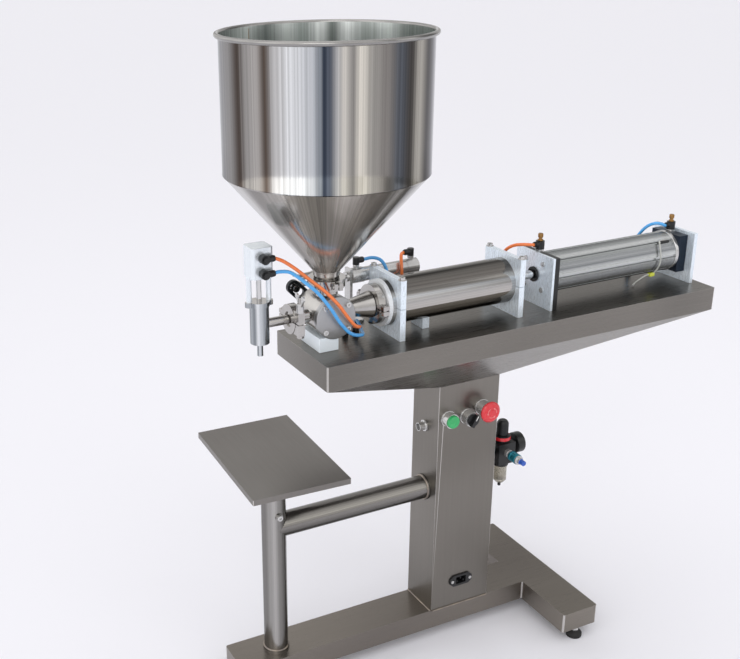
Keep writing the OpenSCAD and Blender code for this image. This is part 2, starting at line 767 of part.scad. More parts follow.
module wing_nut(outer, lug) translate([outer + 6, lug + clear, 0]) difference() {
  union() {
    rotate([-90, 0, 0]) cylinder(r1 = clamp_bolt_r + 3, r2 = clamp_bolt_r + 2.25, h = 16);
    for (side = [-1, 1]) translate([side * 3, 12, 0]) rotate([0, 0, -side * 30]) {
      translate([-3, 0, -1.5]) cube([6, 16, 3]);
      translate([0, 16, -1.5]) cylinder(r = 4.5, h = 3);
    }
  }
  rod_y(clamp_bolt_r + fit, -1, 40);
}

module at_hopper_joint() translate([valve_x, 0, z_joint]) rotate([0, 0, 90]) children();
module at_nozzle_joint()
  translate([nozzle_clamp_x, 0, z_axis]) rotate([0, 90, 0]) rotate([0, 0, -90]) mirror([0, 1, 0]) children();
module at_cylinder_joint()
  translate([joint_x, 0, z_axis]) rotate([0, 90, 0]) rotate([0, 0, 90]) mirror([0, 1, 0]) children();

module tri_clamps() color("silver") {
  at_hopper_joint() tri_clamp(hopper_clamp_r, ferrule_r, short_lug);
  at_nozzle_joint() tri_clamp(small_clamp_r, small_ferrule_r, long_lug);
  at_cylinder_joint() tri_clamp(clamp_r, ferrule_r, short_lug);
}
module hopper_wing_nut() color("lightgray") at_hopper_joint() wing_nut(hopper_clamp_r, short_lug);
module nozzle_wing_nut() color("lightgray") at_nozzle_joint() wing_nut(small_clamp_r, long_lug);
module cylinder_wing_nut() color("lightgray") at_cylinder_joint() wing_nut(clamp_r, short_lug);

// Nozzle

module nozzle_body() color("silver") translate([nozzle_x, 0, 0]) difference() {
  union() {
    rod_z(tip_r, z_nozzle - tip_len, z_nozzle);
    rod_z(nozzle_r, z_nozzle, z_collar);
    rod_z(nozzle_r + 1.5, z_collar, z_posts);
    for (side = [-1, 1]) translate([side * post_half, 0, 0]) rod_z(rod_r + 2.5, z_collar, z_posts);
    translate([nozzle_clamp_x - nozzle_x, 0, z_axis]) rotate([0, -90, 0])
      ferrule(small_ferrule_r, port_r - 1, nozzle_clamp_x - nozzle_x);
  }
  rod_z(tip_r - 1.5, z_nozzle - tip_len - 1, z_nozzle + 1);
  rod_z(nozzle_bore, z_nozzle + 4, z_collar - 1);
  translate([0, 0, z_nozzle]) cylinder(r1 = tip_r - 1.5, r2 = rod_r, h = 4.01);
  rod_z(rod_r + fit, z_collar - 2, z_posts + 1);
  for (side = [-1, 1]) translate([side * post_half, 0, 0]) rod_z(rod_r, z_collar + 2, z_posts + 1);
  translate([0, 0, z_axis]) rod_x(port_r - 3.5, 0, nozzle_clamp_x - nozzle_x + 1);
}

module nozzle_cylinder() color("lightgray") translate([nozzle_x, 0, 0]) {
  difference() {
    intersection() {
      translate([0, 0, z_nozzle_cyl]) block([nozzle_cyl_w, nozzle_cyl_w, nozzle_cyl_h]);
      translate([0, 0, z_nozzle_cyl]) rotate([0, 0, 45])
        block([nozzle_cyl_w * 1.25, nozzle_cyl_w * 1.25, nozzle_cyl_h]);
    }
    rod_z(nozzle_piston_r, z_nozzle_cyl + 8, z_nozzle_cyl + nozzle_cyl_h - 6);
    rod_z(rod_r + fit, z_nozzle_cyl - 1, z_nozzle_cyl + 9);
  }
  for (side = [-1, 1]) translate([side * post_half, 0, 0]) rod_z(rod_r, z_collar + 2, z_nozzle_cyl + 1);
}

module nozzle_stem() color("silver") translate([nozzle_x, 0, 0]) {
  translate([0, 0, z_nozzle + 1]) cylinder(r1 = rod_r - 1, r2 = rod_r - fit, h = 4);
  rod_z(rod_r, z_nozzle + 5, z_nozzle_cyl + 14);
  rod_z(nozzle_piston_r - fit, z_nozzle_cyl + 9, z_nozzle_cyl + 19);
}

// Metering cylinder

module metering_cylinder() color("silver") translate([0, 0, z_axis]) difference() {
  rod_x(meter_r, meter_x, meter_x + meter_len);
  rod_x(meter_bore, meter_x - 1, meter_x + meter_len + 1);
}

module cylinder_head() color("silver") translate([0, 0, z_axis]) difference() {
  union() {
    translate([joint_x, 0, 0]) rotate([0, 90, 0])
      ferrule(ferrule_r, ferrule_r - rim_step, meter_x - joint_x);
    rod_x(meter_r, meter_x - head_t, meter_x);
    rod_x(meter_bore, meter_x, meter_x + spigot_len);
  }
  rod_x(port_r, joint_x - 1, meter_x);
  cone_x(port_r, meter_bore - 6, meter_x - 1, meter_x + spigot_len + 0.01);
}

module metering_piston() color("white") translate([0, 0, z_axis]) difference() {
  rod_x(meter_bore - fit, piston_x, piston_x + piston_len);
  for (x = [6, piston_len - 9]) difference() {
    rod_x(meter_r, piston_x + x, piston_x + x + 3);
    rod_x(meter_bore - 2.5, piston_x + x - 1, piston_x + x + 4);
  }
  rod_x(main_rod_r, rod_start, piston_x + piston_len + 1);
}

module piston_rod() color("silver") translate([0, 0, z_axis])
  rod_x(main_rod_r, rod_start, air_piston_x + air_piston_len);

module air_piston() color("dimgray") translate([0, 0, z_axis]) difference() {
  rod_x(bore_r - fit, air_piston_x, air_piston_x + air_piston_len);
  difference() {
    rod_x(bore_r + 1, air_piston_x + 9, air_piston_x + 14);
    rod_x(bore_r - 3, air_piston_x + 8, air_piston_x + 15);
  }
  rod_x(main_rod_r, air_piston_x - 1, air_piston_x + air_piston_len + 1);
}

module half_plate(x, low, high) difference() {
  translate([x, -plate_span / 2, low]) cube([clamp_plate_t, plate_span, high - low]);
  translate([0, 0, z_axis]) rod_x(meter_r, x - 1, x + clamp_plate_t + 1);
  for (side = [-1, 1])
    translate([x + clamp_plate_t / 2, side * plate_bolt_y, 0]) rod_z(3, z_axis - 40, high + 1);
}

module lower_clamp_plates() color("lightgray")
  for (x = [left_plate_x, right_plate_x]) half_plate(x, z_table, z_axis - split_gap / 2);

module upper_clamp_plates() color("lightgray")
  for (x = [left_plate_x, right_plate_x]) half_plate(x, z_axis + split_gap / 2, z_table + clamp_plate_h);

module cylinder_saddle() color("lightgray") difference() {
  translate([saddle_x, 0, z_table]) block([14, 38, axis_h - meter_r + 6]);
  translate([0, 0, z_axis]) rod_x(meter_r, saddle_x - 20, saddle_x + 20);
}

// Air cylinder

module end_screws(from, to) for (y = [-1, 1], z = [-1, 1])
  translate([0, y * end_screw, z_axis + z * end_screw]) rod_x(3, from, to);

module air_front_plate() color("lightgray") difference() {
  translate([air_x, -plate_span / 2, z_table]) cube([air_plate_t, plate_span, air_plate_h]);
  translate([0, 0, z_axis]) rod_x(gland_r, air_x - 1, cap_x + 1);
  end_screws(air_x - 1, cap_x + 1);
}

module air_front_cap() color("black") difference() {
  union() {
    translate([cap_x, -plate_span / 2, z_table]) cube([air_cap_t, plate_span, air_plate_h]);
    translate([0, 0, z_axis]) rod_x(gland_r, air_x - 3, cap_x);
  }
  translate([0, 0, z_axis]) rod_x(main_rod_r + fit, air_x - 4, barrel_x + 1);
  translate([0, 0, z_axis]) rod_x(main_rod_r + 3, air_x - 4, air_x - 1);
  end_screws(cap_x - 1, cap_x + air_cap_t + 1);
  translate([front_port[0], 0, 0]) rod_z(4, front_port[1] - 8, front_port[1] + 1);
}

module air_barrel() color("silver") translate([0, 0, z_axis]) difference() {
  rod_x(barrel_r, barrel_x, ring_x);
  rod_x(bore_r, barrel_x - 1, ring_x + 1);
  for (a = [0 : 45 : 315])
    rotate([a, 0, 0]) translate([barrel_x - 1, barrel_r - 3, -2.5]) cube([barrel_len + 2, 6, 5]);
}

module air_rear_ring() color("silver") translate([0, 0, z_axis]) difference() {
  rod_x(barrel_r + 1, ring_x, rear_cap_x);
  rod_x(bore_r, ring_x - 1, rear_cap_x + 1);
}

module air_rear_cap() color("darkslateblue") difference() {
  translate([rear_cap_x, -rear_cap_w / 2, z_axis - rear_cap_w / 2])
    cube([rear_cap_len, rear_cap_w, rear_cap_w]);
  translate([rear_port[0], 0, 0]) rod_z(4, rear_port[1] - 8, rear_port[1] + 1);
  end_screws(rear_cap_x + 3, rear_plate_x + 1);
}

module air_rear_plate() color("lightgray") difference() {
  translate([rear_plate_x, -plate_span / 2, z_table]) cube([rear_plate_t, plate_span, air_plate_h]);
  end_screws(rear_plate_x - 1, rear_plate_x + rear_plate_t + 1);
}

module speed_controller(x, base) translate([x, 0, base]) difference() {
  union() {
    rod_z(4, -8, 0);
    hex_z(8, 0, 5);
    rod_z(8, 5, 20);
    translate([0, 0, 14]) rod_x(5.5, -12, 0);
  }
  rod_z(needle_r, 10, 21);
  translate([0, 0, 14]) rod_x(hose_r + tube_play, -13, -8);
}

module speed_needle(x, base) translate([x, 0, base]) {
  rod_z(needle_r - fit, 12, 26);
  rod_z(5, 20 + clear, 23);
  rod_z(4.5, 26, 34);
}
module speed_needle_front() color("goldenrod") speed_needle(front_port[0], front_port[1]);
module speed_needle_rear() color("goldenrod") speed_needle(rear_port[0], rear_port[1]);

module reed_switch() color("gold") translate([0, 0, z_axis]) {
  rotate([135, 0, 0]) translate([408, barrel_r - 3, -2]) cube([24, 4.5, 4]);
  hose(switch_route, cable_r);
  translate([386, -35, -36]) cube([12, 8, 7]);
  hose(switch_tail_route, cable_r);
}

// Air tubes and their fittings

module bulkhead(x, y) translate([x, y, 0]) difference() {
  union() {
    rod_z(hose_r + 2, z_table - tray_wall, z_table);
    hex_z(hose_r + 4, z_table, z_table + 5);
    rod_z(hose_r + 2.5, z_table + 5, z_bulkhead);
  }
  rod_z(hose_r + tube_play, z_bulkhead - 6, z_bulkhead + 1);
}

// A swivelling fitting on the nozzle's air cylinder: the bolt lies along y, the tube leaves along +x
module banjo(z) translate([nozzle_x, -nozzle_cyl_w / 2, z]) difference() {
  union() {
    rod_y(8, -12, 0);
    translate([0, -7, 0]) rod_x(5.5, 0, 15);
    rotate([90, 0, 0]) hex_z(5, 12, 15);
  }
  translate([0, -7, 0]) rod_x(hose_r + tube_play, 9, 16);
}

// An elbow on the drive cylinder: the tube leaves along x
module elbow(x, side) translate([x, drive_y, z_drive + drive_r + 2]) difference() {
  union() {
    hex_z(6.5, 0, 4);
    rod_z(6, 4, 17);
    translate([0, 0, 11]) rotate([0, 0, side > 0 ? 0 : 180]) rod_x(5.5, 0, 12);
  }
  translate([0, 0, 11]) rotate([0, 0, side > 0 ? 0 : 180]) rod_x(hose_r + tube_play, 8, 13);
}

module push_in_fittings() color("black") {
  for (spot = bulkheads) bulkhead(spot[0], spot[1]);
  speed_controller(front_port[0], front_port[1]);
  speed_controller(rear_port[0], rear_port[1]);
  banjo(nozzle_ports[0]);
  banjo(nozzle_ports[1]);
  elbow(drive_ports[0], 1);
  elbow(drive_ports[1], -1);
}

// A tube from a fitting's socket to a bulkhead, by way of a route above the table
module air_tube(start, route, spot) hose(
  concat(
    [start], [for (p = route) [p[0], p[1], p[2] + z_table]],
    [[spot[0], spot[1], z_bulkhead], [spot[0], spot[1], z_bulkhead - 6]]
  ),
  hose_r
);

module orange_air_tubes() color("orangered") {
  air_tube([nozzle_x + 9, banjo_y, nozzle_ports[0]], nozzle_orange_route, nozzle_bulkheads[0]);
  air_tube([drive_ports[1] - 8, drive_y, z_elbow], drive_orange_route, drive_bulkheads[1]);
  air_tube([front_port[0] - 8, 0, front_port[1] + 14], front_orange_route, air_bulkheads[0]);
}

module blue_air_tubes() color("dodgerblue") {
  air_tube([nozzle_x + 9, banjo_y, nozzle_ports[1]], nozzle_blue_route, nozzle_bulkheads[1]);
  air_tube([drive_ports[0] + 8, drive_y, z_elbow], drive_blue_route, drive_bulkheads[0]);
  air_tube([rear_port[0] - 8, 0, rear_port[1] + 14], rear_blue_route, air_bulkheads[1]);
}

// Controls

module holder(x, z, proud, recess) translate([x, column_front, z_deck + z]) difference() {
  union() {
    rod_y(thread_r + 4, -3, 0);
    rod_y(thread_r + 3, -proud, -3);
    rod_y(thread_r, 0, 24);
    translate([-12, 24, -15]) cube([24, 26, 30]);
  }
  rod_y(button_r, -proud - 1, 18);
  if (recess > 0) rod_y(cap_r + clear, -proud - 1, recess - proud);
}

module button_holders() color("silver") {
  holder(green_x, green_z, 17, 9);
  holder(selector_x, selector_z, 20, 0);
  holder(stop_x, stop_z, 20, 0);
}

module green_button() color("limegreen") translate([green_x, column_front, z_deck + green_z]) {
  rod_y(cap_r, -22, -13);
  rod_y(button_r - clear, -13, 6);
}

module selector_knob() color("black") translate([selector_x, column_front, z_deck + selector_z]) {
  rod_y(button_r - fit, -20 - clear, 6);
  rod_y(cap_r, -24, -20 - clear);
  rotate([0, 30, 0]) translate([-3.5, -30, -cap_r]) cube([7, 7, 2 * cap_r]);
}

module stop_button() color("red") translate([stop_x, column_front, z_deck + stop_z]) {
  rod_y(button_r - clear, -24, 6);
  rotate([90, 0, 0]) rotate_extrude() polygon([
    [0, 24], [stop_r - 5, 24], [stop_r, 27], [stop_r, 30], [stop_r - 4, 34], [stop_r - 9, 35], [0, 35]
  ]);
}

module pedal_socket() color("gainsboro") translate([0, 0, z_deck + socket_z]) difference() {
  union() {
    rod_x(socket_r, column_left - 16, column_left + 10);
    rod_x(socket_r + 3, column_left - 4, column_left);
  }
  rod_x(socket_r - 1.5, column_left - 17, column_left - 4);
}

module power_inlet() color("black") translate([column_x, column_front, z_deck + inlet_z]) difference() {
  union() {
    rotate([90, 0, 0]) linear_extrude(3) polygon([
      [-inlet_flange / 2, -5], [-inlet_flange / 2 + 8, -inlet_h / 2 - 2],
      [inlet_flange / 2 - 8, -inlet_h / 2 - 2], [inlet_flange / 2, -5], [inlet_flange / 2, 5],
      [inlet_flange / 2 - 8, inlet_h / 2 + 2], [8 - inlet_flange / 2, inlet_h / 2 + 2],
      [-inlet_flange / 2, 5]
    ]);
    translate([-inlet_w / 2, 0, -inlet_h / 2]) cube([inlet_w, 24, inlet_h]);
  }
  difference() {
    translate([-inlet_w / 2 + 3, -4, -inlet_h / 2 + 2.5]) cube([inlet_w - 6, 20, inlet_h - 5]);
    for (x = [-7, 0, 7]) translate([x - 1, -1, x == 0 ? 1 : -5]) cube([2, 18, 4]);
  }
  for (x = [-1, 1]) translate([x * inlet_screws / 2, 0, 0]) rod_y(1.5, -4, 1);
}

// Filter regulator on the column's side

module regulator_body() color("black") translate([reg_x, -reg_y, z_reg]) {
  translate([0, 0, -reg_h / 2]) difference() {
    union() {
      block([reg_w, reg_w, reg_h]);
      rod_z(14, reg_h, reg_h + 12);
      rod_z(16.5, reg_h + 4, reg_h + 11);
    }
    rod_z(bowl_r - 3, -1, 8);
    rod_z(6, reg_h + 3, reg_h + 13);
  }
  rod_x(nipple_r, column_right - reg_x - 6, -reg_w / 2);
  rod_x(nipple_r + 3, column_right - reg_x, column_right - reg_x + 5);
}

module regulator_knob() color("black") translate([reg_x, -reg_y, z_reg + reg_h / 2]) {
  rod_z(6 - fit, 4, 13);
  rod_z(knob_r, 12 + clear, 38);
  translate([0, 0, 38]) cylinder(r1 = knob_r, r2 = knob_r - 4, h = 5);
}

module regulator_bowl() color("lightsteelblue") translate([reg_x, -reg_y, z_reg - reg_h / 2]) difference() {
  union() {
    rod_z(bowl_r, -40, 0);
    translate([0, 0, -46]) cylinder(r1 = bowl_r - 5, r2 = bowl_r, h = 6);
    rod_z(bowl_r + 2, -8, 0);
    rod_z(3, -55, -45);
  }
  rod_z(bowl_r - 2, -38, 1);
}

module pressure_gauge() color("black") translate([gauge_x, -reg_y, z_gauge]) difference() {
  union() {
    rod_x(5, reg_x + reg_w / 2 - gauge_x, 0);
    rod_x(gauge_r, 0, 16);
  }
  rod_x(gauge_r - 2, 11, 17);
}

module gauge_needle() color("red") translate([gauge_x + 11 + clear, -reg_y, z_gauge]) {
  rod_x(2.5, 0, 2);
  rotate([-135, 0, 0]) translate([0, -0.75, -4]) cube([1.2, 1.5, gauge_r - 1]);
}

module air_coupler() color("silver") translate([reg_x, 0, z_coupler]) {
  rod_y(8, coupler_y - 8, coupler_y);
  rod_y(7, coupler_y - 33, coupler_y - 8);
  rod_y(9, coupler_y - 36, coupler_y - 33);
  rod_y(6, coupler_y - 42, coupler_y - 36);
  rod_y(5, coupler_y - 51, coupler_y - 42);
}

module coupler_sleeve() color("deepskyblue") translate([reg_x, 0, z_coupler]) difference() {
  rod_y(10, coupler_y - 33 + clear, coupler_y - 13);
  rod_y(7 + fit, coupler_y - 34, coupler_y - 12);
}

module valve_manifold() color("dimgray") translate([column_right - column_wall, 0, z_deck + 100]) {
  translate([-22, -30, 0]) cube([22, 60, 30]);
  for (y = [-22, 0, 22]) translate([-18, y - 9, 30]) cube([16, 18, 60]);
}

// Screws

module cap_screw(r, head_r, head_h, length) {
  difference() {
    rod_z(head_r, 0, head_h);
    hex_z(head_r / 2, head_h / 2, head_h + 1);
  }
  rod_z(r, -length, 0);
}

module machine_screws() color("gainsboro") {
  translate([valve_x, 0, z_axis]) for (a = [45 : 90 : 315])
    rotate([0, a, 0]) translate([cover_screw_ring, -valve_half - 1.5, 0]) rotate([90, 0, 0])
      cap_screw(2.5, 4.5, 4, 18);
  for (x = [left_plate_x, right_plate_x], side = [-1, 1])
    translate([x + clamp_plate_t / 2, side * plate_bolt_y, z_table + clamp_plate_h])
      cap_screw(3, 5, 5, clamp_plate_h - axis_h + 35);
  for (y = [-1, 1], z = [-1, 1]) {
    translate([air_x, y * end_screw, z_axis + z * end_screw]) rotate([0, -90, 0])
      cap_screw(3, 5, 1.5, air_plate_t + air_cap_t);
    translate([rear_plate_x + rear_plate_t, y * end_screw, z_axis + z * end_screw]) rotate([0, 90, 0])
      cap_screw(3, 5, 5, rear_plate_t + 12);
  }
  for (x = [-1, 1], z = [-1, 1])
    translate([
      column_x + x * (cover_w / 2 - 6), column_back + column_wall,
      z_deck + column_h / 2 + z * (cover_h / 2 - 6)
    ]) rotate([-90, 0, 0]) cap_screw(2, 4, 2.5, 2 * column_wall);
  for (x = [-1, 1])
    translate([column_x + x * inlet_screws / 2, column_front - 3, z_deck + inlet_z]) rotate([90, 0, 0])
      cap_screw(1.5, 3, 1.5, 8);
  translate([post_x, -post_r - 3, z_deck + clamp_screw_z]) rotate([90, 0, 0]) cap_screw(3, 5, 4, 5);
}

base_frame();
levelling_feet();
column();
column_back_cover();
table_tray();
table_underside();
platform_post();
post_brace();
platform();
valve_block();
valve_body();
valve_cover();
valve_rotor();
crank_arm();
drive_rod();
drive_cylinder();
hopper();
hopper_cone();
tri_clamps();
hopper_wing_nut();
nozzle_wing_nut();
cylinder_wing_nut();
nozzle_body();
nozzle_cylinder();
nozzle_stem();
metering_cylinder();
cylinder_head();
metering_piston();
piston_rod();
air_piston();
lower_clamp_plates();
upper_clamp_plates();
cylinder_saddle();
air_front_plate();
air_front_cap();
air_barrel();
air_rear_ring();
air_rear_cap();
air_rear_plate();
speed_needle_front();
speed_needle_rear();
reed_switch();
push_in_fittings();
orange_air_tubes();
blue_air_tubes();
button_holders();
green_button();
selector_knob();
stop_button();
pedal_socket();
power_inlet();
regulator_body();
regulator_knob();
regulator_bowl();
pressure_gauge();
gauge_needle();
air_coupler();
coupler_sleeve();
valve_manifold();
machine_screws();
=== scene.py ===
# Looks of the cream filling machine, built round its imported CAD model.
# Sizes are written in millimetres, and MM or spot() turns them to metres.
import json
from math import atan2, cos, pi, radians, sin

import bmesh
import bpy
from mathutils import Matrix, Vector


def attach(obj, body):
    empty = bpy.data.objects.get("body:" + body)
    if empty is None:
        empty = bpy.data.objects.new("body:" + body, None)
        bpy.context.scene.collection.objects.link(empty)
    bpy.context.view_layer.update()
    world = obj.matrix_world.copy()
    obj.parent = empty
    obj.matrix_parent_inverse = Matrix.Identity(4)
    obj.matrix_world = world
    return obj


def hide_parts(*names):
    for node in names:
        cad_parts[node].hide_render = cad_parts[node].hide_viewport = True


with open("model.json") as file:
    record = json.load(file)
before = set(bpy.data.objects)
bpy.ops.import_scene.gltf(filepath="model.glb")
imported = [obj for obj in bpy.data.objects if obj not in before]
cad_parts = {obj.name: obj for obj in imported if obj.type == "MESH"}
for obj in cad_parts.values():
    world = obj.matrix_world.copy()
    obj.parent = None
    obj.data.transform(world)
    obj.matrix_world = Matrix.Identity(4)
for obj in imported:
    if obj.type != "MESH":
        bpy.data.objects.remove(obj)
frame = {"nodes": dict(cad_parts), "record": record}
nodes = frame["nodes"]
record = frame["record"]
body_of_node = {node: body for body, held in record["behaviour"]["bodies"].items() for node in held}
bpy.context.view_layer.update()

MM = 0.001
X = Vector((1, 0, 0))
Y = Vector((0, 1, 0))
Z = Vector((0, 0, 1))


def spot(x, y, z):
    """A place on the machine, from millimetres."""
    return Vector((x, y, z)) * MM


# Lines that several pieces share. +X runs from nozzle to air cylinder, and the buttons face -Y.
VALVE_X = -296
NOZZLE_X = -420
POST_X = -402
REGULATOR_X = 79
REGULATOR_Y = -10
LINE_Z = 706  # axis of the valve, the metering cylinder and the air cylinder
BRACE_Z = 320
OUTLET_Z = 762  # foot of the hopper
TRAY_Z = 657  # where the air tubes go down through the table

VALVE_AXIS = spot(VALVE_X, 0, LINE_Z)
MAIN_AXIS = spot(0, 0, LINE_Z)
POST_AXIS = spot(POST_X, 0, 0)
NOZZLE_AXIS = spot(NOZZLE_X, 0, 0)
BRACE_AXIS = spot(0, 0, BRACE_Z)
GAUGE = spot(106, REGULATOR_Y, 370)


# Camera, where the photograph was taken

def stand_camera():
    turn, tilt, roll = radians(-24.58), radians(20.9), radians(-1.26)
    back = Vector((sin(turn) * cos(tilt), -cos(turn) * cos(tilt), sin(tilt)))
    right = Vector((cos(turn), sin(turn), 0))
    up = back.cross(right)
    across = right * cos(roll) + up * sin(roll)
    upright = up * cos(roll) - right * sin(roll)
    lens = bpy.data.cameras.new("photo_camera")
    lens.sensor_width = 36
    lens.lens = 51.93
    lens.shift_x = 0.139
    lens.shift_y = -0.0048
    lens.clip_end = 80
    camera = bpy.data.objects.new("photo_camera", lens)
    camera.matrix_world = Matrix((across, upright, back)).transposed().to_4x4()
    camera.location = (-1.0888, -1.4918, 1.3272)
    bpy.context.scene.collection.objects.link(camera)
    bpy.context.scene.camera = camera


# Finishes

# Marks in a metre. The finest are drawn coarser than the real ones, so that they show at all.
SCRATCHES = 1300  # 0.8 mm apart, where a brushing belt leaves about ten in a millimetre
STREAKS = 240  # 4 mm wide, as the belt leaves them
SHEET_CLOUDS = 3.4  # a drift of shade over 300 mm
CUTTER_MARKS = 700  # 1.4 mm apart, where a cutter leaves about five in a millimetre
MILLED_CLOUDS = 28  # 36 mm wide
BUFFING_WAVES = 9  # 110 mm long
MOULD_CLOUDS = 60  # 17 mm wide
WELD_RIPPLES = 620  # 1.6 mm apart
HEAT_TINTS = 70  # 14 mm wide
PAPER_FIBRES = 220  # 4.5 mm long, coarser than in real paper
FINE_REFLECTION_BANDS = 30  # finer painted bands of reflection, in one radius, so 6 mm apart on the hopper and 1.4 mm on the cylinders

# A grain runs the way that its pattern is scaled down
GRAIN_X = (0.012, 1, 1)
GRAIN_Y = (1, 0.012, 1)
GRAIN_Z = (1, 1, 0.012)
NO_GRAIN = (1, 1, 1)

# The sockets of a Mix node that mixes colours
SHARE, FIRST_TONE, SECOND_TONE, MIXED = 0, 6, 7, 2


def tone(code):
    """A colour written as sRGB hex, in linear values."""
    parts = [int(code[i:i + 2], 16) / 255 for i in (0, 2, 4)]
    linear = [p / 12.92 if p <= 0.04045 else ((p + 0.055) / 1.055) ** 2.4 for p in parts]
    return tuple(linear) + (1.0,)


def add(tree, kind, sockets=None, **settings):
    """Adds a node with its settings, and fills or links its sockets by name or number."""
    made = tree.nodes.new(kind)
    for name, value in settings.items():
        setattr(made, name, value)
    for name, value in (sockets or {}).items():
        if isinstance(value, bpy.types.NodeSocket):
            tree.links.new(value, made.inputs[name])
        else:
            made.inputs[name].default_value = value
    return made


def new_finish(name, colour, roughness, **sockets):
    """A material with its main shader, and where on the machine each point of it lies."""
    material = bpy.data.materials.new(name)
    material.use_nodes = True
    tree = material.node_tree
    shader = tree.nodes["Principled BSDF"]
    shader.inputs["Base Color"].default_value = tone(colour)
    shader.inputs["Roughness"].default_value = roughness
    for key, value in sockets.items():
        shader.inputs[key.replace("_", " ")].default_value = value
    place = add(tree, "ShaderNodeTexCoord").outputs["Object"]
    return material, tree, shader, place


def blend_tones(tree, shader, share, dark, light):
    """Colours the surface between two tones."""
    mix = add(tree, "ShaderNodeMix", {
        SHARE: share, FIRST_TONE: tone(dark), SECOND_TONE: tone(light)}, data_type="RGBA")
    tree.links.new(mix.outputs[MIXED], shader.inputs["Base Color"])


def vary_gloss(tree, shader, marks, glossiest, dullest, span=(0, 1)):
    """Lets the roughness follow the marks."""
    gloss = add(tree, "ShaderNodeMapRange", {
        "Value": marks, "From Min": span[0], "From Max": span[1],
        "To Min": glossiest, "To Max": dullest})
    tree.links.new(gloss.outputs[0], shader.inputs["Roughness"])


def raise_surface(tree, shader, height, strength, distance):
    """Lets fine marks catch the light. The distance is their depth in millimetres."""
    bump = add(tree, "ShaderNodeBump", {
        "Height": height, "Strength": strength, "Distance": distance * MM})
    tree.links.new(bump.outputs["Normal"], shader.inputs["Normal"])


def brushed_sheet(name, light, dark, grain, roughness):
    """Stainless sheet brushed in one direction: hair-fine parallel scratches blur what it reflects,
    and leave faint streaks of tone a few millimetres wide, over a slow drift of shade."""
    material, tree, shader, place = new_finish(name, light, roughness, Metallic=1.0)
    along = add(tree, "ShaderNodeMapping", {"Vector": place, "Scale": grain}).outputs["Vector"]
    scratch, streak = (
        add(tree, "ShaderNodeTexNoise", {
            "Vector": along, "Scale": scale, "Detail": 3, "Roughness": 0.6}).outputs["Fac"]
        for scale in (SCRATCHES, STREAKS))
    cloud = add(tree, "ShaderNodeTexNoise", {"Vector": place, "Scale": SHEET_CLOUDS, "Detail": 1})
    cloud_share, streak_share = 0.86, 0.14
    slow = add(tree, "ShaderNodeMath", {
        0: cloud.outputs["Fac"], 1: cloud_share}, operation="MULTIPLY")
    both = add(tree, "ShaderNodeMath", {
        0: streak, 1: streak_share, 2: slow.outputs[0]}, operation="MULTIPLY_ADD")
    spread = add(tree, "ShaderNodeMapRange", {
        "Value": both.outputs[0], "From Min": 0.34, "From Max": 0.66})
    blend_tones(tree, shader, spread.outputs[0], dark, light)
    vary_gloss(tree, shader, scratch, roughness - 0.06, roughness + 0.07, (0.3, 0.7))
    raise_surface(tree, shader, scratch, 0.2, 0.03)
    return material


def round_with_painted_reflections(name, bands, side, centre, axis, roughness, waves, metal=1.0):
    """Polished stainless, rolled or turned round an axis, with its reflections painted into its
    colour: soft bands of tone across the wall, with finer painted bands between that vary at
    random. Slight waves bend what it reflects. The bands are places across the wall, from 0 to 1,
    each with its painted tone. A haze of polishing marks is less like a mirror."""
    material, tree, shader, place = new_finish(name, bands[0][1], roughness, Metallic=metal)
    place = add(tree, "ShaderNodeMapping", {"Vector": place, "Location": -centre}).outputs["Vector"]
    across = tuple(1 - abs(part) for part in axis)
    level = add(tree, "ShaderNodeVectorMath", {0: place, 1: across}, operation="MULTIPLY")
    turn = add(tree, "ShaderNodeVectorMath", {0: level.outputs[0]}, operation="NORMALIZE")
    reach = add(tree, "ShaderNodeVectorMath", {
        0: turn.outputs[0], 1: side}, operation="DOT_PRODUCT")
    fine = add(tree, "ShaderNodeTexNoise", {
        "Vector": turn.outputs[0], "Scale": FINE_REFLECTION_BANDS, "Detail": 5,
        "Roughness": 0.75}).outputs["Fac"]
    # From -1 to 1 across the wall becomes 0 to 1, less half of what the finer bands then add
    shift = 0.03
    half = add(tree, "ShaderNodeMath", {
        0: reach.outputs["Value"], 1: 0.5, 2: 0.5 - shift / 2}, operation="MULTIPLY_ADD")
    uneven = add(tree, "ShaderNodeMath", {
        0: fine, 1: shift, 2: half.outputs[0]}, operation="MULTIPLY_ADD")
    # The painted reflections: each place across the wall, shifted a little by the finer bands,
    # takes the tone of its band
    ramp = add(tree, "ShaderNodeValToRGB", {0: uneven.outputs[0]})
    ramp.color_ramp.interpolation = "EASE"
    stops = ramp.color_ramp.elements
    for at, _ in bands[1:-1]:
        stops.new(at)
    for stop, (at, code) in zip(stops, bands):
        stop.position = at
        stop.color = tone(code)
    # The finer bands make the painted reflection tone lighter or darker at random
    drift = add(tree, "ShaderNodeMapRange", {
        "Value": fine, "From Min": 0.36, "From Max": 0.64, "To Min": 0.68, "To Max": 1.13})
    shade = add(tree, "ShaderNodeVectorMath", {
        0: ramp.outputs["Color"], "Scale": drift.outputs[0]}, operation="SCALE")
    tree.links.new(shade.outputs[0], shader.inputs["Base Color"])
    wave = add(tree, "ShaderNodeTexNoise", {"Vector": place, "Scale": BUFFING_WAVES, "Detail": 1})
    raise_surface(tree, shader, wave.outputs["Fac"], waves, 2)
    return material


